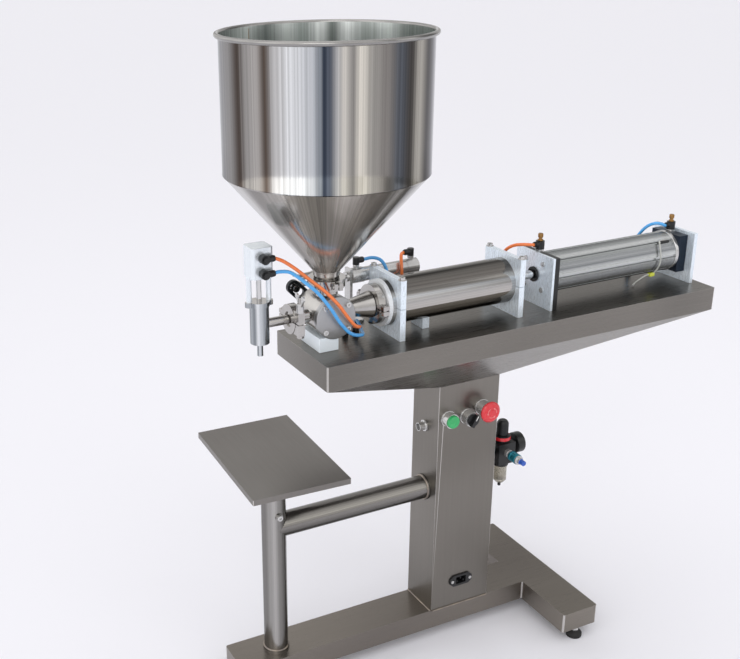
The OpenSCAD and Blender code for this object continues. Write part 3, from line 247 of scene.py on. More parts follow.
def machined_metal(name, light, dark, roughness, metal=1.0, grain=NO_GRAIN):
    """Milled or turned metal: an even tone with fine cutter marks and a soft sheen. An anodised or
    blasted skin is less like a mirror, so it shows its own pale grey."""
    material, tree, shader, place = new_finish(name, light, roughness, Metallic=metal)
    along = add(tree, "ShaderNodeMapping", {"Vector": place, "Scale": grain}).outputs["Vector"]
    marks = add(tree, "ShaderNodeTexNoise", {
        "Vector": along, "Scale": CUTTER_MARKS, "Detail": 3, "Roughness": 0.6}).outputs["Fac"]
    cloud = add(tree, "ShaderNodeTexNoise", {"Vector": along, "Scale": MILLED_CLOUDS, "Detail": 3})
    blend_tones(tree, shader, cloud.outputs["Fac"], dark, light)
    vary_gloss(tree, shader, marks, roughness - 0.08, roughness + 0.1)
    raise_surface(tree, shader, marks, 0.15, 0.03)
    return material


def moulded(name, light, dark, roughness, grit=0.5, **sockets):
    """A moulded, drawn or painted part: a fine even texture, whose grit is given in millimetres,
    and a slight drift of tone."""
    material, tree, shader, place = new_finish(name, light, roughness, **sockets)
    texture = add(tree, "ShaderNodeTexNoise", {
        "Vector": place, "Scale": 1 / (grit * MM), "Detail": 2})
    cloud = add(tree, "ShaderNodeTexNoise", {
        "Vector": place, "Scale": MOULD_CLOUDS, "Detail": 2}).outputs["Fac"]
    blend_tones(tree, shader, cloud, dark, light)
    vary_gloss(tree, shader, cloud, roughness - 0.05, roughness + 0.08)
    raise_surface(tree, shader, texture.outputs["Fac"], 0.12, 0.05)
    return material


def weld_metal():
    """A weld bead, wiped clean: close ripples, and faint straw and blue tints of heat."""
    material, tree, shader, place = new_finish("wiped_weld_bead", "A19A90", 0.34, Metallic=1.0)
    ripple = add(tree, "ShaderNodeTexNoise", {"Vector": place, "Scale": WELD_RIPPLES, "Detail": 1})
    heat = add(tree, "ShaderNodeTexNoise", {"Vector": place, "Scale": HEAT_TINTS, "Detail": 2})
    blend_tones(tree, shader, heat.outputs["Fac"], "6E6A70", "B3A692")
    raise_surface(tree, shader, ripple.outputs["Fac"], 0.7, 0.4)
    return material


# Directions across the round parts, along which their painted bands of reflection are laid, from
# one outline to the other as the camera sees them
ROUND_HOPPER = (0.883, -0.469, 0)
UP_THE_TUBE = (0, 0.384, 0.923)

# Painted reflections: light and dark bands, each a place across the part from 0 to 1 and its tone
HOPPER_PAINTED_REFLECTIONS = [
    (0.0, "4A4F53"), (0.06, "94928F"), (0.11, "4E443D"), (0.15, "A3A09C"), (0.19, "BDB9B4"),
    (0.235, "5E534B"), (0.28, "C9C8C6"), (0.36, "EEF0F0"), (0.43, "D3D6D8"), (0.475, "8F959B"),
    (0.49, "3B424E"), (0.515, "585E68"), (0.545, "B5B5B4"), (0.575, "DAD6CC"), (0.61, "A19E98"),
    (0.65, "E6E1D4"), (0.7, "A6A39C"), (0.76, "8C8883"), (0.82, "5A5E64"), (0.87, "474441"),
    (0.91, "B2AEA4"), (0.955, "353230"), (1.0, "74747A"),
]
MOUTH_PAINTED_REFLECTIONS = [
    (0.0, "7B827F"), (0.1, "C2C8C5"), (0.2, "858C89"), (0.3, "D5DBD8"), (0.38, "A3ABA7"),
    (0.47, "E2E6E4"), (0.53, "787F7B"), (0.6, "E8ECEA"), (0.7, "A9B0AC"), (0.8, "D3D9D6"),
    (0.9, "808783"), (1.0, "727975"),
]
CONE_PAINTED_REFLECTIONS = [
    (0.0, "5E5E5D"), (0.09, "BDBBB8"), (0.15, "7E7A76"), (0.26, "A8A49F"), (0.34, "C4BFB8"),
    (0.45, "B0ABA3"), (0.58, "D0CAC2"), (0.68, "ADA7A0"), (0.77, "8C8781"), (0.83, "C9C6C1"),
    (0.89, "4D4A47"), (0.95, "A5A39F"), (1.0, "6E6C6A"),
]
TUBE_PAINTED_REFLECTIONS = [
    (0.0, "6A6662"), (0.1, "94908A"), (0.22, "BEBAB5"), (0.33, "BFBCB8"), (0.44, "B4B3B2"),
    (0.5, "CBCDCF"), (0.56, "96938F"), (0.7, "7A7672"), (0.84, "6E6B67"), (0.9, "4A4743"),
    (0.95, "9F9C97"), (1.0, "7E7A75"),
]
NOZZLE_PAINTED_REFLECTIONS = [
    (0.0, "6B7176"), (0.12, "B4B9BD"), (0.28, "8C9195"), (0.45, "E8EBED"), (0.62, "C7CCCF"),
    (0.82, "969B9F"), (1.0, "555A5E"),
]
BARREL_PAINTED_REFLECTIONS = [
    (0.0, "6A6C6C"), (0.1, "888B8C"), (0.22, "A7AAAB"), (0.34, "CDD0D0"), (0.43, "B5B8B9"),
    (0.47, "85888A"), (0.51, "A3A6A7"), (0.6, "9FA2A3"), (0.7, "A8ABAB"), (0.79, "C6C8C8"),
    (0.87, "A2A5A5"), (0.95, "8C8F90"), (1.0, "AEB1B1"),
]
PIPE_PAINTED_REFLECTIONS = [
    (0.0, "5A5855"), (0.15, "858380"), (0.4, "A8A6A3"), (0.55, "B5B3B0"), (0.75, "8E8C89"),
    (0.9, "6E6C69"), (1.0, "8A8885"),
]
BRACE_PAINTED_REFLECTIONS = [
    (0.0, "4E4C4A"), (0.15, "6E6C69"), (0.4, "8A8784"), (0.55, "98958F"), (0.75, "85827E"),
    (0.9, "757270"), (1.0, "82807D"),
]

FINISH = {
    # Brushed stainless steel: a soft sheen that smears across the grain. The folds carry a painted
    # highlight, a much lighter tone.
    "column": brushed_sheet("brushed_column_sheet", "89857F", "7A7670", GRAIN_Z, 0.34),
    "table": brushed_sheet("brushed_table_sheet", "84807A", "75726D", GRAIN_X, 0.3),
    "skirt": brushed_sheet("brushed_underside_sheet", "9B9894", "8B8884", GRAIN_X, 0.28),
    "base": brushed_sheet("brushed_base_tube", "8D877F", "7F7973", GRAIN_X, 0.32),
    "platform": brushed_sheet("brushed_platform_plate", "878480", "7A7672", GRAIN_Y, 0.36),
    # A painted highlight for the folds and broken edges
    "edge": brushed_sheet("folded_edge_painted_highlight", "CFCCC8", "B9B6B2", NO_GRAIN, 0.26),

    # Polished stainless steel: clear reflections, and bands of reflection painted into its colour
    "post": round_with_painted_reflections("polished_post_tube_painted_reflections", PIPE_PAINTED_REFLECTIONS, ROUND_HOPPER, POST_AXIS, Z, 0.24, 0.05),
    "brace": round_with_painted_reflections("polished_brace_tube_painted_reflections", BRACE_PAINTED_REFLECTIONS, UP_THE_TUBE, BRACE_AXIS, X, 0.24, 0.05),
    "hopper": round_with_painted_reflections(
        "mirror_polished_wall_painted_reflections", HOPPER_PAINTED_REFLECTIONS, ROUND_HOPPER, VALVE_AXIS, Z, 0.1, 0.1),
    "cone": round_with_painted_reflections(
        "mirror_polished_cone_painted_reflections", CONE_PAINTED_REFLECTIONS, ROUND_HOPPER, VALVE_AXIS, Z, 0.13, 0.16, 0.7),
    "mouth": round_with_painted_reflections(
        "polished_hopper_inside_painted_reflections", MOUTH_PAINTED_REFLECTIONS, ROUND_HOPPER, VALVE_AXIS, Z, 0.22, 0.1, 0.4),
    "tube": round_with_painted_reflections(
        "polished_metering_tube_painted_reflections", TUBE_PAINTED_REFLECTIONS, UP_THE_TUBE, MAIN_AXIS, X, 0.12, 0.05),
    "nozzle": round_with_painted_reflections(
        "turned_nozzle_steel_painted_reflections", NOZZLE_PAINTED_REFLECTIONS, ROUND_HOPPER, NOZZLE_AXIS, Z, 0.2, 0.02),
    "barrel": round_with_painted_reflections(
        "drawn_aluminium_barrel_painted_reflections", BARREL_PAINTED_REFLECTIONS, UP_THE_TUBE, MAIN_AXIS, X, 0.24, 0.02, 0.85),

    # Turned, milled and drawn metal: a soft sheen over an even tone
    "rim": machined_metal("buffed_rim_bead", "A3A2A0", "8D8B89", 0.2),
    "fitting": machined_metal("polished_fitting_steel", "C3C1BE", "A5A29F", 0.17),
    "cover": machined_metal("satin_cover_disc", "B4B5B6", "A3A3A4", 0.34, 0.85),
    "head": machined_metal("satin_turned_head", "EFF2F4", "E0E3E5", 0.3, 0.2),
    "chrome": machined_metal("hard_chromed_rod", "D9D9D9", "C6C6C6", 0.1, grain=(0.1, 1, 1)),
    "bright": machined_metal("satin_bright_steel", "D6D6D5", "BDBCBB", 0.22, 0.75),
    "aluminium": machined_metal(
        "brushed_aluminium_plate", "EEF7FF", "E0ECF7", 0.27, 0.4, (4, 4, 0.12)),
    "block": machined_metal("milled_aluminium_block", "F4FBFF", "E6F0F8", 0.36, 0.1),
    "profile": machined_metal("drawn_fluted_profile", "F8FCFF", "D2DCE4", 0.22, 0.6, (6, 6, 0.05)),
    "brass": machined_metal("turned_brass", "B58E5A", "8D6A3F", 0.28),
    "weld": weld_metal(),

    # Dyed anodising: deep colour under a metal sheen
    "navy": moulded("navy_anodised_cap", "1E2B3C", "141D29", 0.3, 0.4, Metallic=0.6),
    "dark": moulded("dark_crank_anodising", "2B2F33", "1D2023", 0.32, 0.4, Metallic=0.7),
    "teal": moulded("teal_anodised_sleeve", "2E8FA0", "1E7386", 0.26, 0.4, Metallic=0.7),

    # Moulded and drawn plastics: full colour, the glossy ones with a clear skin of shine
    "orange": moulded("orange_polyurethane_tube", "F5884A", "E8702F", 0.24, 0.4, Coat_Weight=0.3),
    "blue": moulded("blue_polyurethane_tube", "5AB0EE", "3F9ADF", 0.24, 0.4, Coat_Weight=0.3),
    "green": moulded("green_push_button", "2DB467", "1C9A52", 0.25, 0.4, Coat_Weight=0.4),
    "red": moulded("red_stop_button", "E2323A", "C81F2B", 0.26, 0.4, Coat_Weight=0.4),
    "royal": moulded("royal_blue_plug", "2D62C8", "1F4DA8", 0.28, 0.4, Coat_Weight=0.3),
    "yellow": moulded("yellow_green_moulding", "D6DC4E", "B9C23A", 0.3, Coat_Weight=0.2),
    "cable": moulded("grey_switch_cable", "BFC1BC", "A9ABA6", 0.25, Coat_Weight=0.3),
    "black": moulded("black_moulded_nylon", "17181A", "0E0F10", 0.36),
    "ptfe": moulded("white_ptfe", "E8E8E2", "DADAD2", 0.45),
    "rubber": moulded("black_rubber", "1A1A1A", "101010", 0.62, 0.8),

    # Printing ink, thin and dull
    "faint": moulded("faint_printed_arrow", "EE9A98", "E88886", 0.3),
    "white": moulded("white_printed_mark", "EDEDEA", "DCDCD8", 0.35),

    # Clear parts
    "bowl": moulded(
        "clear_filter_bowl", "DDD8CC", "C8C3B6", 0.12, 1.0, Transmission_Weight=0.75, IOR=1.5),
    "glass": moulded(
        "gauge_glass", "F4F6F6", "E8ECEC", 0.04, 1.0, Transmission_Weight=1.0, IOR=1.45),
}


# Ways of making a piece

def put(bm, name, finish, node, replaces=True, chamfer=0.0, sharp=32):
    """Makes a piece of the machine from its shape. It moves with the node's body."""
    mesh = bpy.data.meshes.new(name)
    bm.to_mesh(mesh)
    bm.free()
    mesh.shade_smooth()
    mesh.set_sharp_from_angle(angle=radians(sharp))
    piece = bpy.data.objects.new(name, mesh)
    bpy.context.scene.collection.objects.link(piece)
    mesh.materials.append(FINISH[finish])
    if chamfer:
        bevel = piece.modifiers.new("broken_edges", "BEVEL")
        bevel.width = chamfer * MM
        bevel.segments = 2
        bevel.limit_method = "ANGLE"
        bevel.angle_limit = radians(sharp)
        bevel.harden_normals = True
    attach(piece, body_of_node[node])
    if replaces:
        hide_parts(node)
    return piece


def paint(piece, finish, chosen):
    """Gives another finish to the faces whose middle, in millimetres, passes the test."""
    mesh = piece.data
    mesh.materials.append(FINISH[finish])
    for face in mesh.polygons:
        if chosen(face.center / MM):
            face.material_index = len(mesh.materials) - 1


def shape_of(node):
    """The node's own shape, with its triangles joined into whole faces."""
    bm = bmesh.new()
    bm.from_mesh(nodes[node].data)
    bmesh.ops.remove_doubles(bm, verts=bm.verts, dist=0.002 * MM)
    bmesh.ops.dissolve_limit(bm, angle_limit=radians(0.6), verts=bm.verts, edges=bm.edges)
    return bm


def dressed(node, finish, chamfer):
    """The node's own shape, with its edges broken as a finished part's are."""
    return put(shape_of(node), node + "_finished", finish, node, chamfer=chamfer)


def folded(node, finish, radius, along, least, chamfer):
    """The node's own shape, with its long edges along one direction rounded as folded sheet is. The
    folds and broken edges get a painted highlight: a lighter finish where the bends would catch the
    light."""
    bm = shape_of(node)
    long_edges = []
    for edge in bm.edges:
        start, end = (vert.co for vert in edge.verts)
        if edge.calc_length() > least * MM and abs((end - start).normalized().dot(along)) > 0.999:
            long_edges.append(edge)
    bends = bmesh.ops.bevel(bm, geom=long_edges, offset=radius * MM, segments=4, profile=0.5,
                            affect="EDGES", clamp_overlap=True, material=-1)["faces"]
    # The bends and the broken edges take the painted highlight in the second slot
    painted_highlight_slot = 1
    for bend in bends:
        bend.material_index = painted_highlight_slot
    sheet = put(bm, node + "_folded", finish, node, chamfer=chamfer)
    sheet.data.materials.append(FINISH["edge"])
    sheet.modifiers["broken_edges"].material = painted_highlight_slot


def turned(outline, foot, along, steps, closed=False):
    """A shape turned on a lathe. The outline is points of (distance along, radius), in mm."""
    along = along.normalized()
    side = along.orthogonal().normalized()
    bm = bmesh.new()
    edge = [bm.verts.new(foot + along * a * MM + side * r * MM) for a, r in outline]
    lines = [bm.edges.new(pair) for pair in zip(edge, edge[1:])]
    if closed:
        lines.append(bm.edges.new((edge[-1], edge[0])))
    bmesh.ops.spin(bm, geom=edge + lines, cent=foot, axis=along, angle=2 * pi, steps=steps,
                   use_merge=True)
    bmesh.ops.remove_doubles(bm, verts=bm.verts, dist=0.001 * MM)
    bmesh.ops.recalc_face_normals(bm, faces=bm.faces)
    return bm


def arc(centre_a, centre_r, radius, start, end, count):
    """Points round part of a circle, for a lathe outline, with angles from the axis direction."""
    angles = [radians(start + (end - start) * i / count) for i in range(count + 1)]
    return [(centre_a + radius * cos(a), centre_r + radius * sin(a)) for a in angles]


def cut_block(size, centre, turn=None, round_by=0.0):
    """A block of the given size in millimetres, turned about its middle, with rounded edges."""
    bm = bmesh.new()
    bmesh.ops.create_cube(bm, size=1)
    bmesh.ops.scale(bm, vec=Vector(size) * MM, verts=bm.verts)
    if round_by:
        bmesh.ops.bevel(bm, geom=bm.edges[:], offset=round_by * MM, segments=3, profile=0.5,
                        affect="EDGES", clamp_overlap=True, material=-1)
    if turn:
        bmesh.ops.rotate(bm, matrix=turn, verts=bm.verts)
    bmesh.ops.translate(bm, vec=centre, verts=bm.verts)
    return bm


def joined(parts):
    """One shape from several."""
    whole = bmesh.new()
    for part in parts:
        mesh = bpy.data.meshes.new("part")
        part.to_mesh(mesh)
        part.free()
        whole.from_mesh(mesh)
        bpy.data.meshes.remove(mesh)
    return whole


def weld_ring(name, centre, along, radius, bead, node):
    """A weld bead round a tube, where it meets a plate. It starts just under the tube's skin."""
    under = radius - 0.3
    outline = [(0, under), (0, radius + bead)] + arc(0, radius, bead, 80, 5, 5)
    outline.append((bead * 0.9, under))
    put(turned(outline, centre, along, 72, True), name, "weld", node, replaces=False)


def weld_line(name, start, end, bead, node):
    """A straight weld bead in the corner between two plates."""
    run = end - start
    bm = bmesh.new()
    bmesh.ops.create_cone(bm, cap_ends=True, segments=12, radius1=bead * MM, radius2=bead * MM,
                          depth=run.length)
    bmesh.ops.rotate(bm, matrix=Z.rotation_difference(run.normalized()).to_matrix(), verts=bm.verts)
    bmesh.ops.translate(bm, vec=(start + end) / 2, verts=bm.verts)
    put(bm, name, "weld", node, replaces=False)


# Air tubes and the switch cable, along the CAD model's own routes

ROUTE_STEPS = 6
TUBE_R = 3
CABLE_R = 1.5

ORANGE_ROUTES = [
    [(-411, -26, 824), (-404, -26, 824), (-394, -26, 820), (-384, -27, 814), (-366, -30, 800),
     (-342, -37, 778), (-322, -45, 760), (-300, -49, 735), (-283, -50, 711), (-268, -48, 693),
     (-255, -41, 686), (-251, -26, 680), (-249, -8, 675), (-247, 10, 676), (-247, 21, 674),
     (-247, 24, 663), (-247, 24, TRAY_Z)],
    [(-96, 70.3, 763), (-103, 70.3, 763), (-109.5, 66.5, 761.5), (-114, 59.5, 754.5),
     (-117, 53, 744), (-118, 50, 727), (-118, 50, 699), (-118, 52, 673), (-118, 52, 663),
     (-118, 52, TRAY_Z)],
    [(137, 0, 762), (130, 0, 762), (121, 3, 763), (112, 9, 763), (103, 20, 760), (97, 34, 750),
     (95, 48, 731), (96, 56, 709), (99, 61, 687), (100, 62, 673), (100, 62, 663),
     (100, 62, TRAY_Z)],
]
BLUE_ROUTES = [
    [(-411, -26, 799), (-404, -26, 799), (-395, -26, 800), (-379, -30, 798), (-366, -34, 789),
     (-353, -40, 777), (-336, -47, 760), (-316, -51, 733), (-300, -52, 707), (-283, -51, 686),
     (-268, -48, 676), (-252, -42, 671), (-242, -29, 667), (-235, -11, 667), (-230, 7, 672),
     (-228, 17, 673), (-228, 20, 663), (-228, 20, TRAY_Z)],
    [(-192, 70.3, 763), (-182, 70.3, 763), (-168, 68, 764), (-156, 60, 760), (-150, 52, 747),
     (-148, 50, 729), (-147, 50, 699), (-147, 52, 673), (-147, 52, 663), (-147, 52, TRAY_Z)],
    [(452.5, 0, 756), (445, 0, 756), (437, 2, 759.5), (428, 9, 760), (421, 20, 753), (418, 34, 737),
     (418, 45, 719), (419, 50, 701), (420, 56, 683), (420, 58, 671), (420, 58, 663),
     (420, 58, TRAY_Z)],
]
CABLE_ROUTES = [
    [(410, -27, 733), (405, -30, 736), (402, -36, 728), (401, -41, 714), (401, -42, 700),
     (400, -39, 688), (398, -34, 679), (396, -31, 675)],
    [(388, -31, 674), (380, -30, 673), (370, -28, 668), (361, -24, 660), (358, -22, 654)],
]
# Mouths of the push-in fittings: place, and the way the tube leaves
MOUTHS = [
    ((-405, -26, 824), X), ((-405, -26, 799), X), ((-188, 70.3, 763), X), ((-100, 70.3, 763), -X),
    ((133, 0, 762), -X), ((448.5, 0, 756), -X), ((-247, 24, 663), Z), ((-228, 20, 663), Z),
    ((-147, 52, 663), Z), ((-118, 52, 663), Z), ((100, 62, 663), Z), ((420, 58, 663), Z),
]


def flowing(points):
    """More points along a route, so that it bends smoothly through the ones it has."""
    path = []
    last = len(points) - 1
    for i in range(last):
        a, b, c, d = points[max(0, i - 1)], points[i], points[i + 1], points[min(last, i + 2)]
        for k in range(ROUTE_STEPS):
            t = k / ROUTE_STEPS
            path.append((b * 2 + (c - a) * t + (a * 2 - b * 5 + c * 4 - d) * t * t
                         + (b * 3 - a - c * 3 + d) * t * t * t) / 2)
    return path + [points[last]]


def swept(route, radius, sides=20):
    """A round tube that a ring of edges leaves behind as it is drawn along the route."""
    path = flowing([spot(*place) for place in route])
    last = len(path) - 1
    ahead = [(path[min(last, i + 1)] - path[max(0, i - 1)]).normalized() for i in range(last + 1)]
    bm = bmesh.new()
    ring = bmesh.ops.create_circle(bm, cap_ends=False, segments=sides, radius=radius * MM)["verts"]
    bmesh.ops.rotate(bm, matrix=Z.rotation_difference(ahead[0]).to_matrix(), verts=ring)
    bmesh.ops.translate(bm, vec=path[0], verts=ring)
    edges = bm.edges[:]
    first = edges[:]
    for here, there, old, new in zip(path, path[1:], ahead, ahead[1:]):
        made = bmesh.ops.extrude_edge_only(bm, edges=edges)["geom"]
        ring = [g for g in made if isinstance(g, bmesh.types.BMVert)]
        edges = [g for g in made if isinstance(g, bmesh.types.BMEdge)]
        bmesh.ops.rotate(bm, cent=here, matrix=old.rotation_difference(new).to_matrix(), verts=ring)
        bmesh.ops.translate(bm, vec=there - here, verts=ring)
    bmesh.ops.holes_fill(bm, edges=first + edges, sides=0)
    bmesh.ops.recalc_face_normals(bm, faces=bm.faces)
    return bm


def lay_tubes():
    for colour, routes in (("orange", ORANGE_ROUTES), ("blue", BLUE_ROUTES)):
        put(joined(swept(route, TUBE_R) for route in routes), colour + "_tubes", colour,
            colour + "_air_tubes")
    collar = [(-0.5, 3.05), (-0.5, 4.4), (0.8, 4.4), (0.8, 4.9), (2.0, 4.9), (2.3, 4.6), (2.3, 3.4),
              (2.0, 3.05)]
    put(joined(turned(collar, spot(*place), out, 40, True) for place, out in MOUTHS),
        "release_collars", "black", "push_in_fittings", replaces=False)
    put(joined(swept(route, CABLE_R, 14) for route in CABLE_ROUTES), "switch_cable", "cable",
        "reed_switch")


# Frame, column, table and platform

def dress_feet():
    """Four levelling feet: a rubber pad, a threaded stud and a hexagonal lock nut."""
    places = [spot(x, y, 0) for x, y in ((170, -155), (170, 155), (-465, -22), (-465, 22))]
    pad = [(0, 0), (0, 13.6), (0.6, 14.7), (1.6, 15), (7.2, 15), (8.2, 14.6), (12.6, 9.4), (14, 8),
           (14, 0)]
    put(joined(turned(pad, place, Z, 64) for place in places), "rubber_foot_pads", "rubber",
        "levelling_feet")
    thread = [(14, 0), (14, 4.6)]
    for turn in range(13):
        thread += [(14.4 + turn * 2, 5.0), (15.2 + turn * 2, 4.35)]
    thread += [(41, 5), (41.5, 4.4), (41.5, 0)]
    put(joined(turned(thread, place, Z, 40) for place in places), "foot_studs", "bright",
        "levelling_feet")
    nut = [(14.2, 0), (14.2, 8), (15, 8.9), (19, 8.9), (19.8, 8), (19.8, 0)]
    put(joined(turned(nut, place, Z, 6) for place in places), "foot_lock_nuts", "bright",
        "levelling_feet", replaces=False, chamfer=0.3)


def dress_stand():
    folded("base_frame", "base", 3.0, Z, 30, 2.2)
    folded("column", "column", 4.0, Z, 300, 0.5)
    dressed("column_back_cover", "column", 0.8)
    folded("table_tray", "table", 2.6, Z, 30, 2.2)
    dressed("table_underside", "skirt", 1.2)
    folded("platform", "platform", 1.6, Z, 8, 1.3)
    dressed("platform_post", "post", 0.6)
    dressed("post_brace", "brace", 0.6)
    dress_feet()
    tube_r, bead = 22, 2.2
    weld_ring("post_foot_weld", spot(POST_X, 0, 69), Z, tube_r, bead, "platform_post")
    weld_ring("brace_column_weld", spot(-93, 0, BRACE_Z), -X, tube_r, bead, "post_brace")
    column_foot = {
        "front": ((-88, -42.6), (38, -42.6)),
        "rear": ((-88, 42.6), (38, 42.6)),
        "left": ((-90.6, -40), (-90.6, 40)),
        "right": ((40.6, -40), (40.6, 40)),
    }
    foot_z, thin_bead = 65.4, 1.6
    for side, (start, end) in column_foot.items():
        weld_line("column_" + side + "_weld", spot(*start, foot_z), spot(*end, foot_z), thin_bead,
                  "column")


# Hopper

def dress_hopper():
    """The hopper's wall and cone are one shell, as they are once they are welded and polished."""
    ferrule = [(0, 16), (0, 24.9), (0.4, 25.25), (2.6, 25.25), (3, 24.9), (4.8, 20.3), (5.2, 19.3)]
    neck = [(9, 19), (9.6, 19.2), (10.4, 21.6), (11, 22), (16.6, 22), (17.2, 22.9), (18.4, 23.3),
            (19.4, 23.2)]
    outside = [(182.6, 164.9), (184.0, 166.3), (185.0, 167.35), (186.2, 167.35), (187.0, 167.0),
               (240, 167), (300, 167), (350, 167), (390, 167)]
    rim = arc(401, 169.5, 4, 218.7, -88, 26)
    inside = [(350, 165.5), (240, 165.5), (187, 165.5), (184.6, 164.4), (18, 16)]
    outline = ferrule + neck + outside + rim + inside
    shell = turned(outline, spot(VALVE_X, 0, OUTLET_Z), Z, 192, True)
    whole = put(shell, "hopper_wall", "hopper", "hopper")
    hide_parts("hopper_cone")

    neck_z, wall_z, rim_z = 781, 946, 1158
    cone_r, cone_z, cone_slope, wall_r = 22, 781.4, 0.8683, 166.2

    def faces_in(p):
        """Nearer the axis than the middle of the wall or cone."""
        middle = min(wall_r, cone_r + (p.z - cone_z) * cone_slope)
        return p.z > neck_z and ((p.x - VALVE_X) ** 2 + p.y ** 2) ** 0.5 < middle

    # The cone and the inside get their own painted reflection bands, the rim an even tone
    paint(whole, "cone", lambda p: p.z < wall_z)
    paint(whole, "mouth", faces_in)
    paint(whole, "rim", lambda p: p.z > rim_z)
    seam_turn, seam_z, seam_height = radians(112), 1056, 208
    way = Vector((cos(seam_turn), sin(seam_turn), 0))
    for side, radius in (("outer", 167.1), ("inner", 165.4)):
        seam = cut_block((0.8, 2.2, seam_height), spot(VALVE_X, 0, seam_z) + way * radius * MM,
                         Matrix.Rotation(seam_turn, 3, "Z"), 0.35)
        put(seam, "hopper_seam_" + side, "weld", "hopper", replaces=False)


# Valve, joints and nozzle

def dress_valve():
    dressed("valve_block", "block", 0.8)
    dressed("valve_body", "fitting", 0.7)
    cover = [(0, 0), (0, 37), (7.2, 37), (8.4, 36.6), (9.2, 35.8), (9.5, 34.8), (9.5, 0)]
    put(turned(cover, spot(VALVE_X, -26, LINE_Z), -Y, 128), "valve_front_cover", "cover",
        "valve_cover")
    dressed("valve_rotor", "bright", 0.4)
    dressed("crank_arm", "dark", 0.7)
    dressed("drive_rod", "chrome", 0.4)
    dressed("drive_cylinder", "bright", 0.7)
    dressed("tri_clamps", "fitting", 0.8)
    for joint in ("hopper", "nozzle", "cylinder"):
        dressed(joint + "_wing_nut", "bright", 0.9)
    body = dressed("nozzle_body", "nozzle", 0.6)
    # The pipe to the valve and the two posts are polished
    pipe_x, posts_z = -401, 743
    paint(body, "fitting", lambda p: p.x > pipe_x or p.z > posts_z)
    dressed("nozzle_cylinder", "profile", 0.6)
    dressed("nozzle_stem", "chrome", 0.3)


# Metering cylinder and air cylinder

def fluted_barrel():
    """The drawn barrel: eight slots for switches, and fine flutes between them."""
    count = 720
    slot_pitch, flute_pitch = 45, 2.25  # degrees
    slot_half, lip_half = 2.5, 2.9
    slot_floor, lip, flute_middle, flute_depth, bore = 35.0, 37.4, 37.85, 0.15, 31.5
    length = 293
    bm = bmesh.new()
    ring = bmesh.ops.create_circle(bm, cap_ends=False, segments=count, radius=1)["verts"]
    for vert in ring:
        angle = (atan2(vert.co.y, vert.co.x) * 180 / pi) % slot_pitch
        off = min(angle, slot_pitch - angle)
        from_slot = 38 * sin(radians(off))
        if from_slot < slot_half:
            radius = slot_floor / cos(radians(off))
        elif from_slot < lip_half:
            radius = lip
        else:
            radius = flute_middle + flute_depth * cos(radians(off * 360 / flute_pitch))
        vert.co = vert.co.normalized() * radius * MM
    bmesh.ops.create_circle(bm, cap_ends=False, segments=count, radius=bore * MM)
    bmesh.ops.bridge_loops(bm, edges=bm.edges[:])
    made = bmesh.ops.extrude_face_region(bm, geom=bm.faces[:])["geom"]
    far_end = [g for g in made if isinstance(g, bmesh.types.BMVert)]
    bmesh.ops.translate(bm, vec=Z * length * MM, verts=far_end)
    bmesh.ops.recalc_face_normals(bm, faces=bm.faces)
    bmesh.ops.rotate(bm, matrix=Matrix.Rotation(pi / 2, 3, "Y"), verts=bm.verts)
    bmesh.ops.translate(bm, vec=spot(150, 0, LINE_Z), verts=bm.verts)
    put(bm, "fluted_barrel", "barrel", "air_barrel", sharp=28)


def dress_cylinders():
    tube = [(0, 38), (0, 41), (0.5, 41.5), (60, 41.5), (130, 41.5), (200, 41.5), (263.5, 41.5),
            (264, 41), (264, 38)]
    put(turned(tube, spot(-190, 0, LINE_Z), X, 128, True), "polished_tube", "tube",
        "metering_cylinder")
    dressed("cylinder_head", "head", 0.6)
    dressed("metering_piston", "ptfe", 0.5)
    dressed("piston_rod", "chrome", 0.5)
    dressed("air_piston", "aluminium", 0.5)
    dressed("lower_clamp_plates", "aluminium", 0.9)
    dressed("upper_clamp_plates", "aluminium", 0.9)
    dressed("cylinder_saddle", "aluminium", 0.7)
    dressed("air_front_plate", "aluminium", 0.8)
    dressed("air_front_cap", "black", 0.8)
    fluted_barrel()
    ring = [(0, 31.5), (0, 38.4), (0.6, 39), (6.4, 39), (7, 38.4), (7, 31.5)]
    put(turned(ring, spot(443, 0, LINE_Z), X, 128, True), "bright_end_ring", "bright",
        "air_rear_ring")
    dressed("air_rear_cap", "navy", 1.0)
    dressed("air_rear_plate", "aluminium", 0.8)
    washer = [(0, 3), (0, 6.6), (0.3, 6.9), (0.9, 6.9), (1.2, 6.6), (1.2, 3)]
    corners = [(-177.5, 47), (-177.5, -47), (68.5, 47), (68.5, -47)]
    put(joined(turned(washer, spot(x, y, 756.9), Z, 48, True) for x, y in corners), "plate_washers",
        "bright", "machine_screws", replaces=False)
    dressed("machine_screws", "bright", 0.35)


# Pneumatic fittings

def knurl(centre, along, radius, height, count, width):
    """Small ribs round a turned knob."""
    ribs = []
    for k in range(count):
        side = along.orthogonal().normalized()
        side.rotate(Matrix.Rotation(2 * pi * k / count, 3, along))
        turn = Matrix((side, along.cross(side), along)).transposed()
        place = centre + side * radius * MM
        ribs.append(cut_block((width, width, height), place, turn, width * 0.22))
    return ribs


